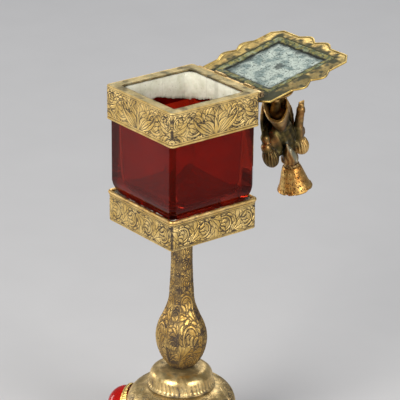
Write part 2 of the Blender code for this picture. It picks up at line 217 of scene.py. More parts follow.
def quads(rows, columns, close_rows):
    """Quads of a rows by columns grid whose columns close into a ring, and whose rows may too."""
    index = np.arange(rows * columns).reshape(rows, columns)
    index = np.concatenate([index, index[:, :1]], axis=1)
    if close_rows:
        index = np.concatenate([index, index[:1]], axis=0)
    return np.stack([index[:-1, :-1], index[:-1, 1:], index[1:, 1:], index[1:, :-1]], axis=-1).reshape(-1, 4)


def ring_piece(name, points, paint, body, replaced=(), close_rows=True, sharp=40, **tones):
    """A piece skinned over rings (rows x columns x 3), capped at both ends unless its rows close."""
    rows, columns = points.shape[:2]
    caps = ()
    if not close_rows:
        first = tuple(range(columns))
        last = tuple(range((rows - 1) * columns, rows * columns))
        caps = (first[::-1], last)
    faces = quads(rows, columns, close_rows)
    shaped = {tone: np.broadcast_to(values, (rows, columns)) for tone, values in tones.items()}
    return mesh_piece(name, points, faces, paint, body, replaced, caps, sharp, **shaped)


def squared(half, corner, straight=60, arc=10):
    """A rounded square as (x, y, normal x, normal y, distance along its side from the side's middle)."""
    flat = half - corner
    along = np.linspace(-flat, flat, straight, endpoint=False)
    turn = np.linspace(0, pi / 2, arc, endpoint=False)
    x = np.concatenate([np.full(straight, half), flat + corner * np.cos(turn)])
    y = np.concatenate([along, flat + corner * np.sin(turn)])
    nx = np.concatenate([np.ones(straight), np.cos(turn)])
    ny = np.concatenate([np.zeros(straight), np.sin(turn)])
    u = np.concatenate([along, flat + corner * turn])
    side = flat + corner * pi / 4
    u = np.where(u > side, u - 2 * side, u)
    sides = []
    for k in range(4):
        c, s = cos(k * pi / 2), sin(k * pi / 2)
        sides.append(np.stack([x * c - y * s, x * s + y * c, nx * c - ny * s, nx * s + ny * c, u]))
    return np.concatenate(sides, axis=1)


def square_rings(profile, straight=60, arc=10):
    """Rings of rounded squares from (half side, height, corner radius)."""
    rings = [squared(half, corner, straight, arc) for half, _, corner in profile]
    return np.stack([xyz(ring[0], ring[1], z) for ring, (_, z, _) in zip(rings, profile)])


def finely(profile, step):
    """A profile of tuples with extra points between, no further apart than step."""
    made = [np.array(profile[0], float)]
    for start, end in zip(profile, profile[1:]):
        start, end = np.array(start, float), np.array(end, float)
        count = max(1, int(np.ceil(np.linalg.norm((end - start)[:2]) / step)))
        made += [start + (end - start) * i / count for i in range(1, count + 1)]
    return np.array(made)


def arc(centre, radius, start, end, steps):
    """Points of a turned profile along an arc, angles in degrees from the outward direction."""
    turns = [radians(start + (end - start) * i / steps) for i in range(steps + 1)]
    return [(centre[0] + radius * cos(turn), centre[1] + radius * sin(turn)) for turn in turns]


def turned(profile, columns):
    """A turned profile as rings, with the angle of each column and each row's distance along it."""
    turn = np.linspace(0, 2 * pi, columns, endpoint=False)
    radius, z = profile[:, :1], profile[:, 1:2]
    along = np.concatenate([[0], np.cumsum(np.hypot(*np.diff(profile[:, :2], axis=0).T))])
    return xyz(radius * np.cos(turn), radius * np.sin(turn), z), turn, along


def outward(points):
    """Unit normals of an array of rings, from its neighbours along both directions."""
    along = np.gradient(points, axis=0)
    round_it = np.roll(points, -1, axis=1) - np.roll(points, 1, axis=1)
    normal = np.cross(round_it, along)
    return normal / (np.linalg.norm(normal, axis=-1, keepdims=True) + 1e-9)


def raised(points, height):
    """Rings of points moved outwards by height."""
    return points + outward(points) * height[..., None]


def lined_piece(name, skin, inner, paint, replaced, dirt):
    """A turned piece of the stand, closed by a plain turned inner side that is dark all over."""
    lining, _, _ = turned(np.array(inner), skin.shape[1])
    dirt = np.concatenate([unit(dirt), np.ones(lining.shape[:2])])
    ring_piece(name, np.concatenate([skin, lining]), paint, "stand", [replaced], dirt=dirt)


def swing_open(points):
    """From closed-lid axes, with height 0 at the rim, to where the lid rests."""
    points = np.asarray(points, float)
    c, s = cos(-OPEN), sin(-OPEN)
    y, z = points[..., 1] - HINGE_AT.y, points[..., 2] + RIM_Z - HINGE_AT.z
    return xyz(points[..., 0], HINGE_AT.y + y * c - z * s, HINGE_AT.z + y * s + z * c)


# Engraving


class Board:
    """A drawing board in millimetres. Level 0 is untouched metal and 1 the bottom of a cut; hatched ground
    lies between the leaves. u runs both ways from the middle, v up from the bottom edge."""

    PITCH = 0.1
    HATCH = 0.7

    def __init__(self, width, height):
        self.width, self.height = width, height
        self.u = np.arange(-width / 2, width / 2 + self.PITCH, self.PITCH)
        self.v = np.arange(0, height + self.PITCH, self.PITCH)
        u, v = np.meshgrid(self.u, self.v, indexing="ij")
        self.cut = 0.3 + 0.3 * np.sin(2 * pi * (u + v) / self.HATCH)

    def stroke(self, path, half_widths, line=0.2, vein=0.5):
        """A tapered leaf or stem along a path: clean metal inside, a dark outline, a cut along its middle."""
        path = np.asarray(path, float)
        half_widths = np.broadcast_to(half_widths, len(path))
        reach = half_widths.max() + line + self.PITCH
        low, high = path.min(axis=0) - reach, path.max(axis=0) + reach
        across = slice(*np.searchsorted(self.u, (low[0], high[0])))
        up = slice(*np.searchsorted(self.v, (low[1], high[1])))
        if across.start >= across.stop or up.start >= up.stop:
            return
        u, v = np.meshgrid(self.u[across], self.v[up], indexing="ij")
        edge = np.full(u.shape, 1e3)
        middle = np.full(u.shape, 1e3)
        for i in range(len(path) - 1):
            du, dv = path[i + 1] - path[i]
            t = unit(((u - path[i, 0]) * du + (v - path[i, 1]) * dv) / (du * du + dv * dv + 1e-9))
            gap = np.hypot(u - path[i, 0] - t * du, v - path[i, 1] - t * dv)
            width = half_widths[i] + (half_widths[i + 1] - half_widths[i]) * t
            edge = np.minimum(edge, gap - width)
            middle = np.minimum(middle, gap / np.maximum(width, 0.05))
        cover = unit((line - edge) / self.PITCH)
        outline = unit(1 + edge / self.PITCH)
        rib = vein * unit(1 - middle / 0.22) * (half_widths.max() > 0.35)
        tone = np.maximum(outline, rib)
        self.cut[across, up] = self.cut[across, up] * (1 - cover) + tone * cover

    def sample(self, u, v):
        i = np.clip(np.rint((u - self.u[0]) / self.PITCH).astype(int), 0, len(self.u) - 1)
        j = np.clip(np.rint(v / self.PITCH).astype(int), 0, len(self.v) - 1)
        return self.cut[i, j]


def curl(start, heading, length, bend, steps=12):
    """A path that sets off along a heading and turns by bend radians in all, tighter towards its end."""
    t = np.linspace(0, 1, steps + 1)
    turn = heading + bend * t**1.6
    move = length / steps * np.stack([np.cos(turn), np.sin(turn)], axis=1)
    return np.asarray(start) + np.concatenate([[[0, 0]], np.cumsum(move[:-1], axis=0)])


def leaf(board, start, heading, length, bend, width):
    """A comma-shaped leaf that swells from its root and ends in a point."""
    path = curl(start, heading, length, bend)
    t = np.linspace(0, 1, len(path))
    board.stroke(path, width * np.sin(pi * (0.1 + 0.9 * t**0.8)) ** 0.9, 0.34)


def spray(board, start, headings, lengths, bends, width):
    """Long comma-shaped leaves from one root, the outer ones laid down first."""
    for heading, length, bend in zip(headings, lengths, bends):
        leaf(board, start, heading, length, bend, width)


def scroll(board, centre, radius, start, hand, turns=0.95, leaves=7):
    """An open C-scroll: comma leaves lie along both sides of its thin stem, and three curl into its eye."""
    t = np.linspace(0, 1, 60)
    turn = start + hand * 2 * pi * turns * t
    reach = radius * (0.82 - 0.42 * t)
    stem = np.asarray(centre) + reach[:, None] * np.stack([np.cos(turn), np.sin(turn)], axis=1)
    for i in reversed(range(leaves)):
        k = int(1 + i * 48 / leaves)
        heading = turn[k] + hand * pi / 2
        outer, inner = (0.85 - 0.05 * i) * radius, (0.62 - 0.03 * i) * radius
        leaf(board, stem[k], heading - hand * 0.75, outer, hand * (1.9 + 0.3 * (i % 2)), 0.14 * radius)
        leaf(board, stem[k + 5], heading + hand * 0.55, inner, hand * 1.5, 0.12 * radius)
    board.stroke(stem, radius * (0.08 - 0.045 * t), 0.3, 0.0)
    for i in (2, 1, 0):
        heading = turn[-1] + hand * (pi / 2 + 0.1 + 0.5 * i)
        leaf(board, stem[-1 - 6 * i], heading, 0.7 * radius, hand * (2.8 - 0.5 * i), 0.13 * radius)


def edge_lines(board, gap=0.5):
    """A plain border line near each long edge."""
    for v in (gap, board.height - gap):
        board.stroke([(-board.width, v), (board.width, v)], 0.2, 0.24, 0)


def rinceau(width, height):
    """Long leaves that sweep from a root at the bottom middle into a big leafy scroll to either side, smaller
    scrolls in the far corners, and comma leaves that fill what is left."""
    board = Board(width, height)
    for hand in (1, -1):
        for step in range(7):
            root = (hand * (0.5 - 0.03 * step) * width, (0.1 + 0.14 * step) * height)
            heading, bend = pi / 2 + hand * (1.9 - 0.22 * step), -hand * (1.6 - 0.3 * (step % 2))
            leaf(board, root, heading, 0.5 * height, bend, 0.75)
        for step in range(11):
            root = (hand * (0.04 + 0.042 * step) * width, 0.05 * height)
            heading, bend = pi / 2 - hand * (1.1 - 0.25 * (step % 3)), -hand * (1.1 - 0.9 * (step % 2))
            leaf(board, root, heading, 0.36 * height, bend, 0.6)
        for step in range(9):
            root = (hand * (0.03 + 0.05 * step) * width, 0.96 * height)
            heading, bend = -pi / 2 + hand * (1.0 - 0.3 * (step % 3)), -hand * (1.2 - 0.8 * (step % 2))
            leaf(board, root, heading, 0.4 * height, bend, 0.65)
        corner, side = (hand * 0.42 * width, 0.68 * height), (hand * 0.245 * width, 0.5 * height)
        scroll(board, corner, 0.27 * height, -pi / 2 + hand * 0.4, hand, 0.8, 5)
        scroll(board, side, 0.46 * height, pi / 2 - hand * 2.4, -hand, leaves=8)
    for hand in (1, -1):
        turns = pi / 2 - hand * np.array([1.35, 1.1, 0.8, 0.5, 0.25])
        lengths = height * np.array([1.15, 1.05, 0.9, 0.8, 0.72])
        bends = hand * np.array([1.25, 0.7, -0.6, -1.1, -1.6])
        spray(board, (hand * 0.3, 0.05 * height), turns, lengths, bends, 0.8)
    for hand in (1, -1):
        leaf(board, (hand * 0.2, 0.3 * height), pi / 2 - hand * 0.25, 0.62 * height, -hand * 1.5, 0.75)
        leaf(board, (hand * 0.2, 0.18 * height), pi / 2 - hand * 0.1, 0.8 * height, hand * 0.9, 0.8)
    leaf(board, (0, 0.04 * height), pi / 2, 0.6 * height, 0.25, 0.8)
    edge_lines(board)
    return board


def running_vine(width, height, pitch, fill, upright=False):
    """A running vine whose scrolls curl to either side in turn, each as far apart as pitch says there. It is
    drawn along v and then, unless it is upright, turned to run along u."""
    across, length = (width, height) if upright else (height, width)
    board = Board(across, length)
    stations, at = [], 0.0
    while at < length - 0.1:
        stations.append((at, pitch(at)))
        at += pitch(at)
    for i, (low, step) in enumerate([*stations, (at, pitch(at))]):
        side, size = (1 if i % 2 else -1), fill * step
        half = 1.12 * size
        turns = pi / 2 - side * np.array([1.25, 0.8, 0.4, 0.05, -0.25])
        lengths = size * np.array([1.9, 1.9, 1.7, 1.5, 1.2])
        bends = -side * np.array([0.9, 0.6, 0.2, -0.4, -0.8])
        spray(board, (-side * half, low - 0.12 * step), turns, lengths, bends, 0.22 * size)
        turns = pi / 2 + side * np.array([0.1, 0.7, 1.3])
        lengths, bends = size * np.array([1.3, 1.2, 1.0]), side * np.array([0.7, 0.9, 1.1])
        spray(board, (side * half, low + 0.06 * step), turns, lengths, bends, 0.2 * size)
    for i, (low, step) in enumerate(stations):
        side, size = (1 if i % 2 else -1), fill * step
        scroll(board, (side * 0.08 * size, low + 0.5 * step), size, pi / 2 + side * (pi / 2 + 0.5), -side)
    if upright:
        return board
    level = Board(width, height)
    level.cut = board.cut.T[: len(level.u), : len(level.v)]
    edge_lines(level, 0.4)
    return level


# Materials


class Paint:
    """A Principled material put together from noise, attribute, ramp and mix nodes in object space."""

    def __init__(self, name):
        self.material = bpy.data.materials.new(name)
        self.material.use_nodes = True
        self.tree = self.material.node_tree
        self.shader = self.tree.nodes["Principled BSDF"]
        self.place = self.tree.nodes.new("ShaderNodeTexCoord").outputs["Object"]

    def node(self, kind, inputs=(), **settings):
        made = self.tree.nodes.new(kind)
        for key, value in settings.items():
            setattr(made, key, value)
        for socket, value in dict(inputs).items():
            self.feed(made.inputs[socket], value)
        return made

    def feed(self, socket, value):
        if isinstance(value, bpy.types.NodeSocket):
            self.tree.links.new(value, socket)
        elif isinstance(value, tuple) and len(value) == 3 and socket.type == "RGBA":
            socket.default_value = (*value, 1.0)
        else:
            socket.default_value = value

    def set(self, **sockets):
        for key, value in sockets.items():
            self.feed(self.shader.inputs[key.replace("_", " ")], value)

    def noise(self, size, detail=3.0, rough=0.55):
        inputs = {"Vector": self.place, "Scale": 1 / (size * MM), "Detail": detail, "Roughness": rough}
        return self.node("ShaderNodeTexNoise", inputs).outputs["Fac"]

    def cells(self, size):
        inputs = {"Vector": self.place, "Scale": 1 / (size * MM)}
        return self.node("ShaderNodeTexVoronoi", inputs).outputs["Distance"]

    def tone(self, name):
        return self.node("ShaderNodeAttribute", attribute_name=name).outputs["Fac"]

    def ramp(self, factor, low, high, start=0.0, end=1.0):
        inputs = {"Value": factor, "From Min": low, "From Max": high, "To Min": start, "To Max": end}
        return self.node("ShaderNodeMapRange", inputs).outputs["Result"]

    def patches(self, size, detail, low, high, start=0.0, end=1.0, grain=0.55):
        """Noise of that size in millimetres, run from start to end between two of its values."""
        return self.ramp(self.noise(size, detail, grain), low, high, start, end)

    def mix(self, factor, first, second):
        made = self.node("ShaderNodeMix", data_type="RGBA")
        for socket, value in ((0, factor), (6, first), (7, second)):
            self.feed(made.inputs[socket], value)
        return made.outputs[2]

    def sum(self, first, second, operation="ADD"):
        made = self.node("ShaderNodeMath", operation=operation, use_clamp=True)
        self.feed(made.inputs[0], first)
        self.feed(made.inputs[1], second)
        return made.outputs[0]

    def bump(self, height, distance, strength=1.0):
        sockets = {"Height": height, "Distance": distance * MM, "Strength": strength}
        made = self.node("ShaderNodeBump", sockets)
        if self.shader.inputs["Normal"].is_linked:
            self.feed(made.inputs["Normal"], self.shader.inputs["Normal"].links[0].from_socket)
        self.feed(self.shader.inputs["Normal"], made.outputs["Normal"])


def gilt(name, soiled=True):
    """Fire-gilt metal: bright where it is rubbed, browner in blotches, with grime in its cuts and pits. On
    some pieces the dirt tone also brings painted shade, in the same grime colour.
    """
    bright, deep, grime_and_shade, patina, rough, film = GILT[name]
    paint = Paint(name)
    metal = paint.mix(paint.patches(6.0, 4, 0.4, 0.66), deep, bright)
    if film:
        metal = paint.mix(paint.patches(3.2, 5, 0.54, 0.68, 0, 0.7, grain=0.65), metal, film)
    specks = paint.patches(0.8, 5, 0.54, 0.72, 0, patina, grain=0.7)
    pits = paint.ramp(paint.cells(1.3), 0.16, 0.06, 0, 0.8 * patina)
    soil_and_shade = paint.sum(specks, pits, "MAXIMUM")
    # The dirt tone carries dirt and, on some pieces, painted shade.
    if soiled:
        soil_and_shade = paint.sum(soil_and_shade, paint.tone("dirt"))
    paint.set(Base_Color=paint.mix(soil_and_shade, metal, grime_and_shade))
    paint.set(Metallic=paint.ramp(soil_and_shade, 0, 1, 1.0, 0.2))
    streaks = paint.patches(1.6, 5, 0.3, 0.7, rough, rough + 0.22, grain=0.65)
    paint.set(Roughness=paint.sum(streaks, paint.sum(soil_and_shade, 0.3, "MULTIPLY")))
    paint.bump(paint.noise(2.2, 2), 0.05)
    paint.bump(paint.noise(0.35, 3), 0.012)
    return paint.material


def plaster(name, clean=(0.74, 0.75, 0.63), stain=(0.52, 0.53, 0.38)):
    """Chalky plaster with stains, brown spots and dirt."""
    paint = Paint(name)
    colour = paint.mix(paint.patches(5.0, 4, 0.42, 0.72, 0, 0.75, grain=0.6), clean, stain)
    spots = paint.ramp(paint.cells(1.9), 0.16, 0.04, 0, 0.5)
    colour = paint.mix(paint.sum(spots, paint.tone("dirt")), colour, (0.16, 0.13, 0.08))
    paint.set(Base_Color=colour, Roughness=paint.patches(0.7, 3.0, 0.3, 0.7, 0.7, 0.95))
    paint.bump(paint.noise(0.9, 5, 0.7), 0.12)
    return paint.material


def ruby(name, tint=(0.48, 0.020, 0.006), roughness=0.02, transmission=0.92, vessel=True):
    """Red glass whose tint varies a little with the melt. A vessel's also has dust, and painted shade on its
    chamfers and on the facets that its bends show dark.
    """
    paint = Paint(name)
    depth = tuple(0.72 * part for part in tint)
    colour = paint.mix(paint.patches(9.0, 2, 0.35, 0.65), tint, depth)
    if vessel:
        dust = paint.ramp(paint.cells(4.5), 0.045, 0.03, 0, 0.55)
        colour = paint.mix(dust, colour, (0.75, 0.4, 0.3))
        # Painted shade on the chamfers and on the facets that refraction shows dark.
        colour = paint.mix(paint.tone("shade"), colour, (0.07, 0.006, 0.004))
    paint.set(Base_Color=colour, Transmission_Weight=transmission, IOR=1.45)
    paint.set(Specular_IOR_Level=0.35, Specular_Tint=(0.7, 0.12, 0.08))
    paint.set(Roughness=paint.patches(5.0, 4, 0.5, 0.75, roughness, roughness + 0.1, grain=0.7))
    paint.bump(paint.noise(12.0, 1), 0.05, 0.5)
    return paint.material


def tarnish(name):
    """A silvered plate gone pale blue-green, with dark specks and one big spot."""
    paint = Paint(name)
    silver, blue, dark = (0.50, 0.57, 0.50), (0.13, 0.20, 0.19), (0.015, 0.03, 0.022)
    colour = paint.mix(paint.patches(5.0, 5, 0.45, 0.6, 0, 0.9, grain=0.6), silver, blue)
    colour = paint.mix(paint.patches(0.7, 4, 0.5, 0.75, 0, 0.6, grain=0.8), colour, (0.46, 0.54, 0.48))
    specks = paint.patches(0.9, 3, 0.57, 0.61, 0, 0.95, grain=0.7)
    spots = paint.ramp(paint.cells(2.6), 0.15, 0.07, 0, 0.8)
    # The dirt tone brings the painted shadow along the plate's far sides too.
    soil_and_shade = paint.sum(paint.sum(specks, spots, "MAXIMUM"), paint.tone("dirt"))
    paint.set(Base_Color=paint.mix(soil_and_shade, colour, dark), Metallic=0.45)
    paint.set(Roughness=paint.patches(1.2, 4, 0.3, 0.7, 0.4, 0.65))
    paint.bump(paint.noise(0.6, 5, 0.75), 0.06)
    return paint.material


def verdigris(name):
    """Olive-brown soldered metal with green and dark stains."""
    paint = Paint(name)
    brown, green = (0.36, 0.31, 0.08), (0.09, 0.12, 0.05)
    dark, pale = (0.025, 0.032, 0.022), (0.36, 0.42, 0.27)
    colour = paint.mix(paint.patches(2.6, 5, 0.42, 0.58, grain=0.65), brown, green)
    colour = paint.mix(paint.patches(1.6, 5, 0.5, 0.6, 0, 0.9, grain=0.7), colour, dark)
    colour = paint.mix(paint.patches(3.4, 4, 0.54, 0.64, 0, 0.7, grain=0.6), colour, pale)
    paint.set(Base_Color=paint.mix(paint.tone("dirt"), colour, (0.02, 0.02, 0.015)), Metallic=0.3)
    paint.set(Roughness=paint.patches(1.1, 4, 0.3, 0.7, 0.5, 0.75))
    paint.bump(paint.noise(0.8, 5, 0.7), 0.1)
    return paint.material


def iron(name, colour=(0.16, 0.13, 0.10), rust=(0.20, 0.08, 0.03)):
    """Dark iron for the pin and the hidden fixings, with filed marks and a little rust."""
    paint = Paint(name)
    paint.set(Base_Color=paint.mix(paint.patches(1.5, 5, 0.45, 0.7, grain=0.7), colour, rust), Metallic=0.8)
    paint.set(Roughness=paint.patches(0.6, 4, 0.3, 0.7, 0.4, 0.7))
    paint.bump(paint.noise(0.3, 3), 0.03)
    return paint.material


def figure_gilt():
    """Worn gilding on the figure: gold, brown, olive and pale patches, with dirt in the hollows. The
    gold_and_light tone also brings painted light into the lower skirt.
    """
    paint = Paint("figure_gilt")
    brown = paint.mix(paint.patches(3.0, 4, 0.4, 0.6), (0.11, 0.065, 0.025), (0.24, 0.105, 0.03))
    olive = paint.patches(2.4, 5, 0.42, 0.62)
    tarnished = paint.mix(olive, (0.040, 0.032, 0.012), (0.095, 0.072, 0.022))
    brown = paint.mix(paint.tone("olive"), brown, tarnished)
    brown = paint.mix(paint.tone("pale_strip"), brown, (0.34, 0.35, 0.27))
    bright = paint.mix(paint.patches(2.2, 4, 0.4, 0.6), (0.74, 0.50, 0.19), (0.46, 0.27, 0.08))
    # The gold_and_light tone brings rubbed gold, and painted light in the lower skirt.
    colour = paint.mix(paint.tone("gold_and_light"), brown, bright)
    colour = paint.mix(paint.tone("dirt"), colour, (0.025, 0.02, 0.012))
    paint.set(Base_Color=colour, Metallic=paint.ramp(paint.tone("dirt"), 0, 1, 0.9, 0.4))
    paint.set(Roughness=paint.patches(1.2, 5, 0.3, 0.7, 0.3, 0.55, grain=0.65))
    paint.bump(paint.noise(0.9, 4), 0.06)
    return paint.material


# Box


def edge_roll(offset, low, radius, start, end, steps=6):
    """Profile points round a rolled edge of that radius, as (offset from the face, height)."""
    turns = np.radians(np.linspace(start, end, steps))
    return [(offset + radius * cos(turn), low + radius * sin(turn)) for turn in turns]


def engraved_band(name, half, low, high, board, paint, replaced, bead):
    """A square band of sheet metal with an engraved face between a rolled bead and a softened edge. The
    bead's radius is positive where it runs along the bottom edge and negative along the top."""
    face_in, groove_in, softened, cut_depth = 0.12, 0.34, 0.55, 0.2
    size = abs(bead)
    bead_low, bead_high = (low, low + 2 * size) if bead > 0 else (high - 2 * size, high)
    face_low, face_high = (bead_high + 0.15, high - 0.7) if bead > 0 else (low + 0.7, bead_low - 0.15)
    face = [(-face_in, z) for z in np.arange(face_low, face_high, 0.2)] + [(-face_in, face_high)]
    rolled = edge_roll(-size, bead_low + size, size, -80, 80, 7)
    if bead > 0:
        rest = edge_roll(-face_in - softened, high - softened, softened, 5, 90)
        groove = (-groove_in, bead_high + 0.05)
        profile = [(-SHEET, low + 0.3), *rolled, groove, *face, *rest, (-SHEET, high - 0.1)]
    else:
        rest = edge_roll(-face_in - softened, low + softened, softened, -90, -5)
        groove = (-groove_in, bead_low - 0.05)
        profile = [(-SHEET, low + 0.2), *rest, *face, groove, *rolled, (-SHEET, high - 0.3)]
    offsets, heights = np.array(profile).T[:, :, None]
    x, y, nx, ny, u = squared(half, BAND_CORNER, 208, 24)
    skin = xyz(x, y, heights)
    on_face = np.abs(offsets + face_in) < 1e-6
    in_groove = np.abs(offsets + groove_in) < 1e-6
    v = (heights - face_low) / (face_high - face_low) * board.height
    cut = board.sample(*np.broadcast_arrays(u, v)) * on_face
    dent = 0.06 * noise(skin, 4.0, 3) - 0.06
    wear = np.clip(0.6 + 0.9 * noise(skin, 5.0, 11), 0.25, 1.0)
    offset = offsets + (dent - cut_depth * cut * wear) * smooth(0.85, 0.3, -offsets)
    skin = xyz(x + nx * offset, y + ny * offset, heights)
    # Painted shade: blotchy darkening on the band's rounded corners.
    corner_shade = smooth(0.99, 0.84, np.maximum(np.abs(nx), np.abs(ny))) * blotches(skin, 2.2, 6, -0.7, 0.3)
    blotch = 0.35 * blotches(skin, 2.4, 5, 0.15, 0.75)
    dirt = unit(cut * (0.75 + 0.35 * wear) + blotch + 0.85 * corner_shade + 0.8 * in_groove)
    dirt = np.where(on_face | in_groove, dirt, 0.25 + 0.5 * blotch)
    ring_piece(name, skin, paint, "stand", [replaced], sharp=50, dirt=dirt)


def make_bands():
    """The two bands. Their beads and edges leave the boards a little less than the bands' heights."""
    paint = gilt("engraved_gilt")
    board = rinceau(side_length(BAND_HALF), RIM_Z - BAND_LOW - 1.9)
    engraved_band("engraved_upper_band", BAND_HALF, BAND_LOW, RIM_Z, board, paint, "upper_band", 0.5)
    high, length = high_of("lower_band"), side_length(LOWER_HALF)
    board = running_vine(length, high - LOWER_LOW - 1.4, lambda at: length / 4, 0.4)
    engraved_band("engraved_lower_band", LOWER_HALF, LOWER_LOW, high + 0.2, board, paint, "lower_band", -0.25)


def side_length(half):
    """A band's face from corner middle to corner middle."""
    return 2 * (half - BAND_CORNER + BAND_CORNER * pi / 4)


def make_rim():
    """The flat gilt rim, hammered a little uneven, with a filed and slightly ragged inner edge."""
    worn = gilt("worn_rim_gilt")
    outer, under_z = BAND_HALF - 0.75, RIM_Z - SHEET
    top = []
    for half in np.linspace(outer, MOUTH_HALF, 22):
        worn_down = 0.06 + 0.12 * smooth(1.0, 0.0, half - MOUTH_HALF)
        top.append((half, RIM_Z - worn_down, max(0.9, 1.5 - 0.3 * (outer - half))))
    points = square_rings([*top, (MOUTH_HALF + 0.1, under_z, 0.9), (outer, under_z, 1.5)], 140, 12)
    flat = np.arange(len(points)) < len(top)
    points[..., 2] += np.where(flat[:, None], 0.05 * noise(points, 2.6, 21) - 0.03, 0)
    inner = smooth(MOUTH_HALF + 1.0, MOUTH_HALF, np.max(np.abs(points[..., :2]), axis=-1))
    ragged = 0.22 * inner * (noise(points, 1.7, 8) + 0.4)
    points[..., :2] *= (1 + ragged / MOUTH_HALF)[..., None]
    dirt = unit(0.5 * blotches(points, 3.1, 14, 0.1, 0.7) + 0.3 * inner)
    ring_piece("rim_plate", points, worn, "stand", ["top_rim"], dirt=dirt)


def make_lip():
    """The rolled lip round the top of the lower band, rubbed bright."""
    bright = gilt("rubbed_gilt")
    depth, radius, centre_z = 0.75, (LIP_HIGH - LIP_LOW) / 2, (LIP_HIGH + LIP_LOW) / 2
    turns = np.linspace(-1.4, 1.9, 14)
    rolled = [(LIP_HALF - depth + depth * cos(turn), centre_z + radius * sin(turn)) for turn in turns]
    rolled += [(LIP_HALF - 1.6, LIP_HIGH - 0.5), (LIP_HALF - 1.6, LIP_LOW + 0.1)]
    points = square_rings([(half, z, max(0.9, 2.3 - (LIP_HALF - half))) for half, z in rolled], 160, 16)
    points = raised(points, 0.04 * noise(points, 2.0, 31) - 0.04)
    # Darker over the lower half of the roll.
    dirt = 0.6 * blotches(points, 1.8, 33, 0.25) + 0.5 * smooth(0.6, -0.9, points[..., 2] - centre_z)
    ring_piece("lower_rolled_lip", points, bright, "stand", ["lower_lip"], dirt=unit(dirt))


def make_lining():
    """The white lining in the mouth, ragged at its lower edge and cracked here and there."""
    paint = plaster("lining_plaster")
    high, low, corner, thickness = high_of("upper_lining"), low_of("upper_lining"), 4.2, 0.5
    inside = [(18.95 - 0.15 * (high - z) / (high - low), z, corner) for z in np.linspace(high, low, 40)]
    outside = [(half + thickness, z, corner) for half, z, _ in reversed(inside)]
    points = square_rings(inside + outside, 150, 18)
    edge_key = points * (1, 1, 0)
    at_corner = np.min(np.abs(points[..., :2]), axis=-1) / 19
    lift = 0.4 * noise(edge_key, 0.8, 9) + 0.3 * noise(edge_key, 2.3, 4) - 4.6 * at_corner - 0.4
    t = (high - points[..., 2]) / (high - low)
    points[..., 2] += lift * t**2
    bulge = 0.10 * noise(points, 1.9, 12) + 0.05 * noise(points, 0.6, 13)
    points[..., :2] *= (1 - np.clip(bulge, -0.12, 0.15) / 19)[..., None]
    crack = smooth(0.05, 0.0, np.abs(noise(edge_key, 6.0, 17))) * 0.25
    dirt = unit(crack + 0.6 * smooth(0.9, 1.0, t) + 0.3 * smooth(0.08, 0.0, t))
    ring_piece("mouth_lining", points, paint, "stand", ["upper_lining"], dirt=dirt)


def make_bedding():
    """The bedding that the glass stands in, crumbling along its top."""
    paint = plaster("bedding_plaster", (0.66, 0.63, 0.54), (0.25, 0.22, 0.15))
    half, low, high = high_of("lower_bedding", 0), low_of("lower_bedding"), high_of("lower_bedding")
    profile = [(half, low, 2.4), (half, high - 2.0, 2.4)]
    profile += [(21.95 - 0.12 * i, high - 0.012 * i * i, 2.3) for i in range(22)]
    profile += [(19.0, high - 5.4, 2.2), (15.0, high - 5.9, 2.0), (15.0, low, 2.0)]
    points = square_rings(profile, 140, 14)
    crumbs = 0.5 * noise(points, 1.5, 41) + 0.3 * noise(points, 0.6, 42) - 0.55
    loose = smooth(high - 2.4, high - 0.8, points[..., 2])
    points[..., 2] += loose * np.clip(crumbs, -1.0, 0.0)
    dirt = unit(0.8 * smooth(0.1, -0.8, crumbs) * loose)
    ring_piece("glass_bedding", points, paint, "stand", ["lower_bedding"], dirt=dirt)


def chamfered(half, corner, straight, arc_steps):
    """A rounded square whose corners are pressed flat."""
    x, y = squared(half, corner, straight, arc_steps)[:2]
    press = np.maximum(np.abs(x) + np.abs(y) - (2 * half - corner), 0) / 2
    return x - np.sign(x) * press, y - np.sign(y) * press


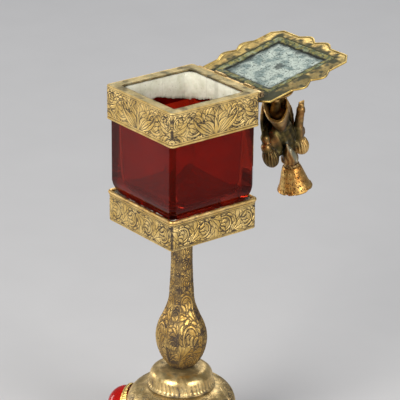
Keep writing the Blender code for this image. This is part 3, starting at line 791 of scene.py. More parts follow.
def make_glass():
    """One thick-walled ruby vessel with chamfered corners, a rounded foot and a tapering cavity. The tone
    called shade is painted shade: it darkens the chamfers and, beside two of them, the facets
    that the glass's bends show."""
    side = GLASS_HALF + 0.15
    foot = [(16.6, 0.0, 2.6), (18.6, 0.5, 2.6), (20.4, 2.1, 2.6), (21.9, 4.2, 2.6)]
    foot += [(22.6, 6.4, 2.2), (side, 8.4, 2.1)]
    outer = [(half, GLASS_LOW + z, corner) for half, z, corner in foot]
    outer += [(side, GLASS_HIGH - 0.4, 2.1), (side - 0.4, GLASS_HIGH, 2.1)]
    cavity = [(19.2, 25.0, 4.0), (18.5, 40.0, 4.0), (17.9, 43.0, 4.0), (16.6, 45.2, 4.0), (14.6, 46.4, 4.0)]
    cavity += [(9.0, 47.0, 3.0), (0.6, 47.05, 0.3)]
    inner = [(20.3, GLASS_HIGH, 4.0), (19.95, GLASS_HIGH - 0.4, 4.0)]
    inner += [(half, RIM_Z - drop, corner) for half, drop, corner in cavity]
    outer_rows, step = finely(outer, 1.2), (60, 9)
    rings = [xyz(*chamfered(half, corner, *step), z) for half, z, corner in outer_rows]
    rings += [xyz(*squared(half, corner, *step)[:2], z) for half, z, corner in finely(inner, 1.2)]
    points = np.stack(rings)
    points[..., :2] *= (1 + 0.0018 * noise(points, 14.0, 51) - 0.0018)[..., None]
    away = np.abs(points[..., :2])
    from_corner = away.max(axis=-1) - away.min(axis=-1)
    outside = (np.arange(len(points)) < len(outer_rows))[:, None]
    side_corner = points[..., 0] * points[..., 1] > 0
    rise = (points[..., 2] - GLASS_LOW) / (GLASS_HIGH - GLASS_LOW)
    facet = np.where(points[..., 0] < 0, 6.0 + 3.0 * rise, 8.5 - 2.0 * rise)
    # Painted shade on the chamfers and, beside the two side corners, on the facets that refraction shows
    # dark.
    shade = 0.85 * smooth(2.3, 1.9, from_corner) + 0.8 * side_corner * smooth(facet, facet - 0.4, from_corner)
    shade = np.clip(shade * (0.85 + 0.2 * noise(points, 5.0, 52)), 0, 0.9) * outside
    paint = ruby("ruby_glass")
    ring_piece("ruby_glass_vessel", points, paint, "stand", ["glass_vessel"], False, 28, shade=shade)


# Stem

# The radius to the stem's edges at each drop from its top
STEM_PROFILE = [(0.0, 5.3), (6.0, 5.0), (15.0, 4.9), (22.0, 5.1), (30.0, 5.5), (37.0, 6.2), (42.5, 8.2)]
STEM_PROFILE += [(47.0, 10.3), (51.5, 11.5), (55.0, 11.75), (58.5, 11.3), (61.5, 10.5), (64.5, 9.2)]
STEM_PROFILE += [(67.0, 7.4), (68.4, 6.0)]


def stem_radius(drop):
    """Radius to the stem's edges, as a smooth curve through its profile."""
    drops, radii = np.array(STEM_PROFILE).T
    slopes = np.gradient(radii, drops)
    i = np.clip(np.searchsorted(drops, drop) - 1, 0, len(drops) - 2)
    span = drops[i + 1] - drops[i]
    t = (drop - drops[i]) / span
    rise = (2 * t**3 - 3 * t**2 + 1) * radii[i] + (3 * t**2 - 2 * t**3) * radii[i + 1]
    return rise + span * ((t**3 - 2 * t**2 + t) * slopes[i] + (t**3 - t**2) * slopes[i + 1])


def make_stem():
    """A faceted baluster with four broad faces and four narrow ones between them, engraved with a
    running vine up each face, its edges left crisp."""
    paint = gilt("stem_gilt")
    length = STEM_TOP - STEM_LOW
    drop = np.linspace(0, length, 300)[:, None]
    radius = stem_radius(drop)
    stretch, narrow_half, broad_end = 1.5, radians(15), radians(75)

    def vine(width, spacing, fill):
        pitch = lambda up: spacing * stem_radius(length - stretch * up)
        return running_vine(width, length / stretch, pitch, fill, True)

    broad, narrow = vine(11.8, 0.98, 0.47), vine(6.2, 0.8, 0.3)
    blocks, tones = [], []
    for corner in STEM_TURN + pi / 4 + np.arange(4) * pi / 2:
        # Painted shade: the narrow faces are 0.3 darker than the broad ones.
        faces = (
            (corner - narrow_half, corner + narrow_half, 18, narrow, 0.3),
            (corner + narrow_half, corner + broad_end, 34, broad, 0.0),
        )
        for start, end, count, board, facet_shade in faces:
            t = np.linspace(0, 1, count, endpoint=False)
            chord = 2 * radius * sin((end - start) / 2)
            x = radius * (np.cos(start) * (1 - t) + np.cos(end) * t)
            y = radius * (np.sin(start) * (1 - t) + np.sin(end) * t)
            cut = board.sample(*np.broadcast_arrays((t - 0.5) * chord, (length - drop) / stretch))
            edge = smooth(0.5, 0.15, np.minimum(t, 1 - t) * chord)
            cut = cut * (1 - 0.6 * edge)
            middle = (start + end) / 2
            bulge = 0.05 * chord * (1 - (2 * t - 1) ** 2) - 0.17 * cut - 0.06 * edge
            blocks.append(xyz(x + cos(middle) * bulge, y + sin(middle) * bulge, STEM_TOP - drop))
            tones.append(unit(cut + 0.45 * edge + facet_shade))
    points = np.concatenate(blocks, axis=1)
    ends = 0.7 * smooth(2.2, 0.2, drop) + 0.85 * smooth(length - 2.5, length - 0.3, drop)
    dirt = unit(0.85 * np.concatenate(tones, axis=1) + 0.45 * blotches(points, 3.4, 61) + ends)
    turn = np.arctan2(points[0, :, 1], points[0, :, 0])
    hole = xyz(ROD_HOLE_R * np.cos(turn), ROD_HOLE_R * np.sin(turn), np.array([[STEM_LOW], [STEM_TOP]]))
    dirt = np.concatenate([dirt, np.ones(hole.shape[:2])])
    points = np.concatenate([points, hole])
    ring_piece("engraved_stem", points, paint, "stand", ["stem_baluster"], sharp=24, dirt=dirt)


# Foot


def panel_board(width, height):
    """One panel of the foot's repeat: two tiers of facing scrolls, with leaves that rise between them."""
    board = Board(width, height)
    for hand in (1, -1):
        for step in range(6):
            root = (hand * 0.49 * width, (0.04 + 0.17 * step) * height)
            leaf(board, root, pi / 2 + hand * 0.5, 0.24 * height, hand * (1.8 - 0.5 * (step % 2)), 0.7)
            root = (0, (0.02 + 0.15 * step) * height)
            leaf(board, root, pi / 2 - hand * 0.6, 0.26 * height, -hand * 1.3, 0.7)
        scroll(board, (hand * 0.26 * width, 0.26 * height), 0.23 * width, -pi / 2, hand)
        scroll(board, (hand * 0.25 * width, 0.7 * height), 0.22 * width, pi / 2, -hand)
    leaf(board, (0, 0.08 * height), pi / 2, 0.8 * height, 0, 0.8)
    return board


def panel_cut(board, turn, along, start, low=0.0):
    """The board's engraving repeated round a turned piece, one panel centred on start, from low along it."""
    phase = (turn - start) * FOOT_PANELS / (2 * pi)
    return board.sample(*np.broadcast_arrays((phase - np.rint(phase)) * board.width, along - low))


def make_dome(paint):
    top, shoulder = high_of("foot_dome"), (15.6, 27.0)
    outer = [(DOME_R, 10.1), (DOME_R, 17.0), *arc(shoulder, 9.2, 0, 90, 30), (14.9, top + 0.1)]
    skin, turn, along = turned(finely(outer, 0.3), 640)
    along, length = along[:, None], along[-1]
    board = panel_board(2 * pi * DOME_R / FOOT_PANELS, length)
    cut = panel_cut(board, turn, along, STEM_TURN)
    cut = cut * smooth(length, length - 0.8, along) * smooth(0.0, 1.0, along)
    cut = cut * np.clip(0.75 + 0.7 * noise(skin, 6.0, 71), 0.25, 1.0)
    skin = raised(skin, -0.22 * cut + 0.08 * noise(skin, 3.0, 72) - 0.08)
    inner = [(13.6, top), *arc(shoulder, 8.0, 90, 0, 8), (23.6, 17.0), (23.6, 10.1)]
    dirt = cut + 0.5 * blotches(skin, 3.5, 73, 0.0) + 0.6 * smooth(2.0, 0.0, along)
    lined_piece("engraved_dome", skin, inner, paint, "foot_dome", dirt)


def make_cap(paint):
    """The cap under the stem, with a frill of uneven flutes round its wall."""
    top, shoulder, flutes = high_of("foot_cap"), (9.6, 40.5), 44
    outer = [(15.5, 36.6), (14.6, 38.0), *arc(shoulder, 4.8, 0, 90, 20), (ROD_HOLE_R, top)]
    skin, turn, along = turned(finely(outer, 0.22), 480)
    along = along[:, None]
    ridge = np.abs(np.sin(flutes / 2 * turn + 0.9 * noise(skin, 3.0, 85) + 0.25 * along)) ** 0.5
    frill_top = 5.6 + 0.8 * noise(xyz(9 * np.cos(turn), 9 * np.sin(turn), 0), 3.0, 81)
    frill = smooth(0.2, 0.9, along) * smooth(frill_top, 4.6, along)
    cut = (1 - ridge) * frill
    scratch = blotches(xyz(turn * 30, 0, along * 1.5), 1.0, 82, 0.35) * frill
    skin = raised(skin, -0.3 * cut + 0.05 * noise(skin, 1.4, 83) - 0.05)
    inner = [(ROD_HOLE_R, top - 1.2), *arc(shoulder, 3.6, 90, 0, 6), (13.2, 36.6)]
    dirt = 0.8 * cut + 0.45 * blotches(skin, 2.6, 84) + 0.35 * scratch
    dirt = dirt + 0.4 * smooth(9.6, 12.0, along) + 0.5 * smooth(1.2, 0, along)
    lined_piece("fluted_cap", skin, inner, paint, "foot_cap", dirt)


def make_base(paint):
    """The spreading base, with eight lobes at its edge and a corded ring inside them."""
    outer = [(FOOT_R, 0.0), (FOOT_R + 0.3, 1.2), (FOOT_R - 0.4, 3.2), (37.0, 4.6), (34.0, 5.2), (31.5, 5.9)]
    outer = finely([*outer, (27.5, 7.6), (25.6, 9.8)], 0.35)
    skin, turn, along = turned(outer, 720)
    along, length, radius = along[:, None], along[-1], outer[:, :1]
    swell = 0.16 * np.clip(radius - 30, 0, None) * (np.sqrt(np.abs(np.cos(FOOT_PANELS / 2 * turn))) - 0.6)
    skin[..., :2] *= (1 + swell / radius)[..., None]
    board = panel_board(2 * pi * 31 / FOOT_PANELS, length - 4.0)
    cut = panel_cut(board, turn, along, pi / FOOT_PANELS, 3.6)
    cut = cut * smooth(3.8, 4.4, along) * smooth(length, length - 1.0, along)
    cords = (0.5 + 0.5 * np.cos(turn * 150)) * smooth(2.6, 3.0, along) * smooth(3.8, 3.4, along)
    skin = raised(skin, -0.22 * cut - 0.25 * cords + 0.06 * noise(skin, 3.0, 91) - 0.06)
    skin[..., 2] = np.maximum(skin[..., 2], 0.0)
    inner = [(24.3, 9.8), (26.3, 6.6), (30.6, 4.7), (FOOT_R - 4.0, 3.2), (FOOT_R - 4.0, 0.0)]
    dirt = 0.75 * cut + 0.6 * cords + 0.45 * blotches(skin, 4.0, 92, 0.0)
    lined_piece("lobed_base", skin, inner, paint, "foot_base", dirt)


def make_jewels():
    """Four ruby cabochons, each in a collet with a beaded skirt and a rim pressed over the stone."""
    stone_paint = ruby("ruby_cabochon", (0.80, 0.02, 0.015), 0.04, 0.55, False)
    bright = gilt("collet_gilt")
    radius, out, height, wall = 9.0, 26.4, 20.8, DOME_R + 0.3
    top, rest = 0.9, out - 1.55
    for number in range(1, 5):
        facing = Matrix.Rotation(STEM_TURN - 3 * pi / 4 + (number - 1) * pi / 2, 3, "Z")
        place = np.array(facing @ Matrix.Rotation(pi / 2, 3, "Y"))
        turns = np.linspace(0.06, pi / 2 - 0.03, 26)
        dome = [(radius - 0.4, out - 0.6), (radius, out)]
        dome += [(radius * cos(turn), out + (radius - 0.03) * sin(turn)) for turn in turns]
        stone = turned(np.array(dome), 72)[0] @ place.T + (0, 0, height)
        ring_piece(f"cabochon_{number}", stone, stone_paint, "stand", [f"jewel_{number}"], False, 50)

        rolled = [(10.15, 0.0), (10.15, 1.0), (9.75, 1.7), (9.35, 2.15), (8.98, 2.3), (8.95, 2.0)]
        profile = finely([*rolled, (9.15, 0.8), (9.15, 0.0)], 0.16)
        ring, turn, along = turned(profile, 240)
        skirt = smooth(1.3, 0.9, along)[:, None]
        beads = skirt * np.abs(np.sin(turn * 34)) ** 0.7
        side = (profile[:, 0] > 9.3)[:, None]
        claws = smooth(1.4, 2.6, along)[:, None] * (0.5 + 0.5 * np.cos(turn * 28)) * side
        between = (1 - beads) * skirt
        ring = raised(ring, -0.32 * between * side - 0.16 * claws)
        seat, up = np.sqrt(wall**2 - ring[..., 1] ** 2), ring[..., 2]
        ring[..., 2] = np.where(up < top, seat + up * np.maximum(0.2, (rest + top - seat) / top), rest + up)
        dirt = np.clip(0.7 * between + 0.5 * claws, 0, 0.9)
        ring = ring @ place.T + (0, 0, height)
        ring_piece(f"beaded_collet_{number}", ring, bright, "stand", [f"collet_{number}"], dirt=dirt)


# Hinge


def make_hinge():
    """Rolled knuckles: the rim's are soldered to the band, and the lid's carry a tab up to its edge."""
    rubbed = gilt("hinge_gilt")
    outer, bore_r = 1.46, 0.62
    turn = np.linspace(0, 2 * pi, 48, endpoint=False)
    seam = smooth(0.25, 0.05, np.abs(turn - 0.9))
    for name in ("rim_knuckle_1", "rim_knuckle_2", "rim_knuckle_3", "lid_knuckle_1", "lid_knuckle_2"):
        start, end = low_of(name, 0), high_of(name, 0)
        on_rim = name.startswith("rim")
        lengths = np.array([start, start + 0.12, *np.arange(start + 0.4, end - 0.3, 0.25), end - 0.12, end])
        rounded = outer - 0.12 * (np.minimum(lengths - start, end - lengths) < 0.05)
        shell = xyz(lengths[:, None], rounded[:, None] * np.cos(turn), rounded[:, None] * np.sin(turn))
        shell[..., 1:] *= (1 - (0.05 + 0.03 * noise(shell, 1.2, 101) + 0.06 * seam) / outer)[..., None]
        if on_rim:
            # Solder that fills in to the band's back wall
            shell[..., 1] -= 0.35 * smooth(0.2, 1.0, -np.cos(turn)) * unit(0.5 + np.sin(turn))
        else:
            shell[..., 2] += 0.95 * smooth(0.1, 0.95, np.sin(turn))
        bore = xyz(lengths[[-1, 0]][:, None], bore_r * np.cos(turn), bore_r * np.sin(turn))
        points = np.concatenate([shell, bore]) + (0, HINGE_AT.y, HINGE_AT.z)
        dirt = unit(0.9 * seam + 0.5 * blotches(shell, 1.3, 102))
        dirt = np.concatenate([dirt, np.ones(bore.shape[:2])])
        ring_piece(f"rolled_{name}", points, rubbed, "stand" if on_rim else "lid", [name], dirt=dirt)


# Lid, in closed axes


def side_reach(along):
    """How far a lobed side swells beyond its straight edge: two lobes with a notch between them."""
    lobe = 11.0
    return 2.9 * np.sin(pi * np.minimum(np.abs(along) / lobe, 1.0)) ** 1.3


def flange_outline(inset=0.0):
    """The lid's edge as x and y: three lobed sides, two blunt corners and a straight side over the hinge."""
    front_y, corner, centre_y = -24.3, 4.5, 1.0
    front = np.linspace(LID_HALF - corner, corner - LID_HALF, 111)
    side = np.linspace(front_y + corner, LID_BACK - 3.0, 116)
    swell = side_reach(side - centre_y)
    back_x = LID_HALF - 5.0 - inset
    back = np.linspace(-back_x, back_x, 61)
    x = [(LID_HALF + swell - inset)[::-1], front, inset - LID_HALF - swell, back]
    back_y = np.full(len(back), LID_BACK - min(inset, 1.0))
    y = [side[::-1], front_y - side_reach(front) + inset, side, back_y]
    return np.concatenate(x), np.concatenate(y)


def lid_rings(profile, outline):
    """Squares of each (half side, height), with the points of the lid's lobed edge spread round them."""
    inner_x, inner_y = (np.clip(values / 20.0, -1, 1) for values in outline)
    return np.stack([xyz(half * inner_x, half * inner_y, z) for half, z in profile])


def make_cover():
    """The lobed flange and the hollow roof in one skin, which ends on the flange's under side."""
    outline, vine_length, roof_half = flange_outline(), 43.0, 20.4
    edge = [(0.12, 0.36), (0.0, 0.55), (0.0, 0.95), (0.12, 1.14), (0.5, 1.2), (0.9, 1.2), (1.3, 1.08)]
    rim = np.stack([xyz(*flange_outline(inset), z) for inset, z in [*edge, (1.7, 1.16), (2.2, 1.2)]])
    roof = [(21.6, 1.3), (roof_half, 2.1), (18.4, 2.7), (14.4, 4.1), (10.4, 6.5), (7.4, 9.4), (5.8, 11.8)]
    roof += [(5.5, 12.6), (6.2, 12.9), (6.2, ROOF_TOP), (1.9, ROOF_TOP)]
    recess = [(1.9, 12.6), (4.6, 11.6), (6.4, 8.8), (9.4, 5.9), (13.6, 3.3), (17.4, 2.0), (19.2, 2.0)]
    roof = lid_rings(finely(roof, 0.3), outline)
    recess = lid_rings(finely([*recess, (19.3, 0.5), (19.5, 0.32)], 0.8), outline)
    # The under side, which faces up when the lid lies open, from the recess back out to the rolled edge
    lip = xyz(*flange_outline(0.5), 0.3)
    reach = np.array([0.08, 0.16, 0.24, 0.32, 0.4, 0.48, 0.56, 0.64, 0.72, 0.8, 0.86, 0.91, 0.95])
    reach = reach[:, None, None]
    roll = np.array([0, 0, 0, 0, 0, 0, 0.018, 0.045, 0.09, 0.252, 0.306, 0.162, 0.0])[:, None]
    flange = recess[-1] * (1 - reach) + lip * reach
    flange[..., 2] = 0.31
    flange[..., 2] += roll + 0.05 * noise(flange, 3.0, 111)
    parts = [rim, roof, recess, flange, lip[None]]
    points = np.concatenate(parts)
    zone = np.repeat(np.arange(5), [len(part) for part in parts])[:, None]
    on_roof, in_recess, on_face = zone == 1, zone == 2, zone >= 3

    x, y = points[..., 0], points[..., 1]
    away = np.maximum(np.abs(x), np.abs(y))
    vine = running_vine(vine_length, 15.4, lambda at: vine_length / 4, 0.5)
    cut = on_roof * vine.sample(np.where(np.abs(x) > np.abs(y), y, x), roof_half - away)
    cut = cut * smooth(2.0, 2.3, points[..., 2]) * smooth(12.0, 11.4, points[..., 2])
    points[..., 2] -= 0.2 * cut
    # Darker near the recess and towards the hinge and +x sides: grime, and painted shade on the flange.
    grime_and_shade = 0.85 * smooth(22.6, 19.6, away + 2.4 * noise(points, 1.8, 112))
    grime_and_shade += 0.6 * smooth(20.0, 23.0, y + 1.5 * noise(points, 2.5, 115))
    grime_and_shade += 0.5 * blotches(points, 2.2, 113, 0.2, 0.6)
    grime_and_shade += 0.5 * smooth(18.5, 22.5, x + 2.4 * noise(points, 1.9, 117))
    grime_and_shade += 0.7 * smooth(24.0, 29.0, 0.7 * y + 0.7 * x + 2.0 * noise(points, 3.0, 116))
    stains = 0.3 * on_roof * blotches(points, 4.0, 114, 0.0, 0.7)
    dirt = unit(on_face * grime_and_shade + 0.8 * cut + in_recess + stains)
    paint = gilt("lid_gilt")
    ring_piece("scalloped_lid", swing_open(points), paint, "lid", ["lid_cover"], sharp=45, dirt=dirt)


def make_border():
    """The stained frame round the recess, crusted along its inner edge."""
    inner = 16.0
    rows = [(19.15, 0.62), (19.1, 0.45), (18.8, 0.4), (17.8, 0.5), (16.3, 0.75), (15.9, 1.05), (15.9, 1.5)]
    rows = finely([*rows, (19.0, 1.6)], 0.3)
    points = square_rings([(half, z, 1.0) for half, z in rows], 150, 8)
    points[..., 2] += np.where(points[..., 2] < 1.2, 0.10 * noise(points, 1.6, 121), 0)
    away = np.max(np.abs(points[..., :2]), axis=-1)
    crust = 0.45 * smooth(17.2, inner, away) * np.clip(0.4 + noise(points, 1.3, 123), 0, 1.2)
    points[..., :2] *= (1 - crust / inner)[..., None]
    dirt = smooth(16.9, inner, away + 0.6 * noise(points, 1.6, 122)) + 0.15 * smooth(18.7, 19.1, away)
    paint = verdigris("stained_border")
    ring_piece("recess_border", swing_open(points), paint, "lid", ["lid_inner_frame"], dirt=unit(dirt))


def make_plate():
    """The silvered plate in the recess, darkest round its edge and in one spot, and with painted shadow of
    the recess walls along its far sides.
    """
    outer = 15.85
    halves = np.linspace(outer, 0.05, 80)
    faces = ((halves, 1.2), (halves[::-1], 1.9))
    points = [square_rings([(half, z, 0.9 * half / outer) for half in rows], 160, 4) for rows, z in faces]
    points = np.concatenate(points)
    points[..., 2] += 0.07 * noise(points, 2.4, 131) + 0.03 * noise(points, 0.7, 132)
    x, y = points[..., 0], points[..., 1]
    spot = np.hypot(x - 2.6, y + 0.4) + 0.9 * noise(points, 1.4, 134)
    edge = np.maximum(np.abs(x), np.abs(y)) + 0.8 * noise(points, 2.0, 133)
    far = np.maximum(-x, -y) + 2.2 * noise(points, 2.6, 135)
    # The far sides get painted shadow of the recess walls; the spot and the edge are darker too.
    dirt = 0.8 * smooth(3.1, 1.6, spot) + 0.5 * smooth(13.9, 15.8, edge)
    dirt = unit(dirt + 0.75 * smooth(12.5, 15.5, far))
    paint, replaced = tarnish("tarnished_plate"), ["lid_inner_plate", "finial_stud"]
    ring_piece("silvered_plate", swing_open(points), paint, "lid", replaced, dirt=dirt)


# Finial


class Clay:
    """A block of distance values that shapes are added to, for a surface to be drawn at level 0."""

    def __init__(self, low, high, step):
        self.low, self.step = np.array(low, float), step
        axes = [np.arange(a, b, step, dtype=np.float32) for a, b in zip(low, high)]
        self.x, self.y, self.z = np.meshgrid(*axes, indexing="ij")
        self.field = np.full(self.x.shape, 1e3, np.float32)

    def ball(self, centre, radii, tip=0.0):
        """Distance to an ellipsoid, tipped about Y by an angle in radians."""
        x, y, z = self.x - centre[0], self.y - centre[1], self.z - centre[2]
        if tip:
            x, z = x * cos(tip) - z * sin(tip), z * cos(tip) + x * sin(tip)
        near = np.sqrt((x / radii[0]) ** 2 + (y / radii[1]) ** 2 + (z / radii[2]) ** 2) + 1e-6
        x, y, z = x / radii[0] ** 2, y / radii[1] ** 2, z / radii[2] ** 2
        return near * (near - 1) / (np.sqrt(x**2 + y**2 + z**2) + 1e-6)

    def limb(self, start, end, start_r, end_r):
        """Distance to a round-ended limb."""
        move = np.subtract(end, start)
        x, y, z = self.x - start[0], self.y - start[1], self.z - start[2]
        t = np.clip((x * move[0] + y * move[1] + z * move[2]) / move.dot(move), 0, 1)
        gap = np.sqrt((x - t * move[0]) ** 2 + (y - t * move[1]) ** 2 + (z - t * move[2]) ** 2)
        return gap - (start_r + (end_r - start_r) * t)

    def add(self, shape, blend):
        h = np.clip(0.5 + 0.5 * (self.field - shape) / blend, 0, 1)
        self.field = self.field + (shape - self.field) * h - blend * h * (1 - h)

    def add_ball(self, centre, radii, blend):
        self.add(self.ball(centre, radii), blend)

    def add_limb(self, start, end, start_r, end_r, blend):
        self.add(self.limb(start, end, start_r, end_r), blend)

    def cut(self, shape, blend):
        h = np.clip(0.5 - 0.5 * (self.field + shape) / blend, 0, 1)
        self.field = self.field + (-shape - self.field) * h + blend * h * (1 - h)

    def surface(self):
        """Points and quads where the field crosses 0, one point to a crossed cell, at the mean crossing."""
        field = self.field
        inside = field < 0
        shape = np.array(field.shape) - 1
        total = np.zeros((*shape, 3), np.float32)
        count = np.zeros(shape, np.float32)
        crossings = []
        for axis in range(3):
            one = [slice(None)] * 3
            two = [slice(None)] * 3
            one[axis], two[axis] = slice(None, -1), slice(1, None)
            a, b = field[tuple(one)], field[tuple(two)]
            crossed = inside[tuple(one)] != inside[tuple(two)]
            where = np.argwhere(crossed)
            crossings.append((where, inside[tuple(one)][crossed]))
            spot = where.astype(np.float32)
            spot[:, axis] += (a / (a - b + 1e-12))[crossed]
            others = [k for k in range(3) if k != axis]
            for shift in product((0, 1), repeat=2):
                cell = where.copy()
                cell[:, others] -= shift
                good = (cell >= 0).all(axis=1) & (cell < shape).all(axis=1)
                at = tuple(cell[good].T)
                np.add.at(total, at, spot[good])
                np.add.at(count, at, 1)
        used = count > 0
        number = np.full(shape, -1)
        number[used] = np.arange(used.sum())
        points = total[used] / count[used][:, None] * self.step + self.low
        faces = []
        for axis, (where, starts_inside) in enumerate(crossings):
            others = [k for k in range(3) if k != axis]
            corners = []
            for shift in ((0, 0), (1, 0), (1, 1), (0, 1)):
                cell = where.copy()
                cell[:, others] -= shift
                corners.append(number[tuple(cell.T)])
            quad = np.stack(corners, axis=1)
            flip = starts_inside == (axis == 1)
            quad[flip] = quad[flip][:, ::-1]
            faces.append(quad)
        return points, np.concatenate(faces)


def sculpt_head(clay, crown):
    """A calm, plain head that faces +X: eyes at half its height, the nose's tip a third of the way from them
    to the chin and the mouth just past half way."""
    x, z = 0.5, crown - 3.9
    front, eye_z, nose_z, mouth_z = x + 3.0, z, z - 1.25, z - 2.1
    clay.add_ball((x, 0, z), (3.25, 2.75, 3.7), 0.8)
    clay.add_ball((x + 1.0, 0, z - 1.7), (2.1, 2.05, 2.2), 1.0)
    clay.add_limb((front - 0.1, 0, eye_z + 0.3), (front + 0.45, 0, nose_z + 0.1), 0.32, 0.5, 0.3)
    for side in (-1, 1):
        clay.cut(clay.ball((front + 0.25, side * 1.05, eye_z), (0.6, 0.75, 0.5)), 0.4)
        clay.add_ball((front - 0.42, side * 1.05, eye_z - 0.05), (0.45, 0.55, 0.36), 0.12)
        brow = (front + 0.1, side * 0.4, eye_z + 0.62), (front - 0.75, side * 1.8, eye_z + 0.5)
        clay.add_limb(*brow, 0.24, 0.2, 0.3)
        clay.add_ball((x - 0.1, side * 2.75, eye_z - 0.5), (0.65, 0.35, 0.95), 0.2)
        clay.add_ball((front - 0.55, side * 1.25, nose_z + 0.05), (0.7, 0.7, 0.6), 0.5)
        moustache = (front + 0.15, side * 0.25, mouth_z + 0.42), (front - 0.55, side * 1.7, mouth_z - 0.5)
        clay.add_limb(*moustache, 0.34, 0.16, 0.2)
    clay.add_ball((front - 0.05, 0, mouth_z - 0.2), (0.4, 0.75, 0.22), 0.12)
    clay.cut(clay.ball((front + 0.25, 0, mouth_z), (0.35, 0.8, 0.09)), 0.08)
    hair = clay.ball((x - 0.7, 0, z + 0.3), (3.1, 3.2, 3.7))
    strands = 0.14 * np.sin(9 * np.arctan2(clay.y, clay.x - x + 0.7) + 0.9 * clay.z)
    clay.add(np.maximum(hair + strands, clay.x - x - 1.1 - 0.35 * (clay.z - eye_z)), 0.25)
    return mouth_z


def sculpt_legs(clay, base):
    clay.add(np.maximum(clay.ball((0, 0, base), (7.2, 6.6, 2.6)), base - clay.z), 0.3)
    for side, knee in ((1, (1.6, 3.4, base + 2.6)), (-1, (1.2, -0.6, base + 2.6))):
        ankle = (-4.6, 3.2 * side, base + 2.6)
        clay.add_limb((-2.2, 2.4 * side, base + 12.0), knee, 2.8, 1.8, 0.6)
        clay.add_limb(knee, ankle, 1.9, 1.2, 0.5)
        clay.add_limb(ankle, (-6.6, 3.2 * side, base + 1.4), 1.2, 0.8, 0.4)


def sculpt_trunk(clay, base):
    clay.add_limb((-1.2, 0.9, base + 12.5), (-0.9, 0.9, base + 18.0), 4.4, 3.3, 0.8)
    clay.add_ball((-0.8, 2.0, base + 22.6), (3.8, 7.4, 7.6), 1.6)
    clay.add_limb((-0.8, -4.6, base + 29.2), (-0.8, 6.0, base + 29.0), 2.3, 2.4, 1.2)
    folded = smooth(base + 17, base + 20, clay.z) * smooth(base + 29, base + 26, clay.z)
    clay.field += 0.16 * np.sin(1.9 * clay.y + 0.5 * clay.z) * folded
    belt = np.abs(clay.limb((-1.3, 0.9, base + 17.2), (-0.7, 0.9, base + 17.9), 3.9, 3.9))
    clay.add(np.maximum(belt - 0.45, np.abs(clay.z - base - 17.6) - 0.75), 0.2)
    clay.add_limb((0.2, 0, base + 29), (1.1, 0, base + 33), 2.3, 1.8, 0.7)


def sculpt_skirt(clay, base):
    """A folded bell that flares from the waist towards the knees, with a thick hem."""
    waist, hem = np.array((-0.8, 1.2, base + 17.0)), np.array((1.4, 3.9, base + 5.2))
    length = np.linalg.norm(hem - waist)
    axis = (hem - waist) / length
    forward = np.array((0.758, 0.594, 0.0))
    forward -= forward.dot(axis) * axis
    forward /= np.linalg.norm(forward)
    across = np.cross(axis, forward)
    px, py, pz = clay.x - waist[0], clay.y - waist[1], clay.z - waist[2]
    t, f, s = (px * way[0] + py * way[1] + pz * way[2] for way in (axis / length, forward, across))
    turn = np.arctan2(s, f)
    flare = 3.2 + 5.0 * unit(t) ** 0.8 + 0.15 * np.sin(9 * turn) * unit(t)
    wide = np.sqrt((f / 1.3) ** 2 + (s / 0.62) ** 2)
    slope = t + 0.05 * np.cos(turn - 0.3)
    clay.add(np.maximum(np.abs(wide - flare) - 0.55, np.maximum(-t, slope - 1)), 0.5)
    clay.add(np.sqrt((wide - flare) ** 2 + ((slope - 1) * 10.9) ** 2) - 0.8, 0.3)


def sculpt_cloak(clay, base):
    back = clay.ball((-1.0, 1.2, base + 16.5), (7.6, 8.6, 15.5))
    drape = np.abs(back + 0.5 * np.sin(9.2 * np.arctan2(clay.y - 1.2, clay.x + 1.0))) - 0.65
    clay.add(np.maximum(drape, np.maximum(clay.x + 3.2 + 0.1 * clay.y, base + 1.0 - clay.z)), 0.5)


def sculpt_arms(clay, base):
    """Ribbed puffs at the shoulders, the left hand on the hip and the right arm held straight down."""
    for side, (x, y, z), height in ((1, (-1.2, 9.6, base + 30.0), 5.2), (-1, (-0.4, -7.4, base + 31.5), 4.6)):
        ribs = 0.16 * np.cos(17 * np.arctan2(clay.y - y, clay.x - x)) * smooth(5.2, 3.4, np.abs(clay.z - z))
        clay.add(clay.ball((x, y, z), (3.8, 3.6, height), 0.15) + ribs, 0.5)
        cuff = (x - 0.5, y + 1.0 * side, base + 25.4), (x - 0.5, y + 1.2 * side, base + 24.6)
        clay.add_limb(*cuff, 2.5, 2.4, 0.3)
    clay.add_limb((-1.7, 9.6, base + 26.0), (-2.6, 9.9, base + 20.6), 2.1, 2.0, 0.4)
    clay.add_limb((-2.6, 9.9, base + 20.6), (-5.4, 6.0, base + 17.0), 1.9, 1.4, 0.5)
    clay.add_ball((-5.6, 5.2, base + 16.4), (1.2, 1.9, 1.3), 0.4)
    elbow, wrist, palm = (0.4, -7.0, base + 21.8), (1.6, -9.2, base + 13.4), (2.0, -9.4, base + 11.4)
    clay.add_limb((-0.4, -6.6, base + 27.6), elbow, 2.6, 2.3, 0.6)
    creases = 0.03 * np.sin(2.6 * clay.z + 0.8 * clay.x)
    clay.add(clay.limb(elbow, wrist, 2.2, 1.8) + creases, 0.4)
    clay.add_limb((1.5, -9.1, base + 14.0), (1.62, -9.2, base + 13.3), 2.05, 2.0, 0.15)
    clay.add_ball(palm, (1.25, 1.6, 1.7), 0.3)
    x, y, z = palm
    for k in range(4):
        knuckle = (x + 0.5 - 0.1 * k, y - 1.15 + 0.75 * k, z - 1.0)
        clay.add_limb(knuckle, (knuckle[0] + 0.35, knuckle[1], knuckle[2] - 1.35), 0.42, 0.36, 0.08)
    clay.add_limb((x + 0.9, y + 0.9, z + 0.3), (x + 1.5, y + 1.3, z - 0.9), 0.42, 0.36, 0.12)


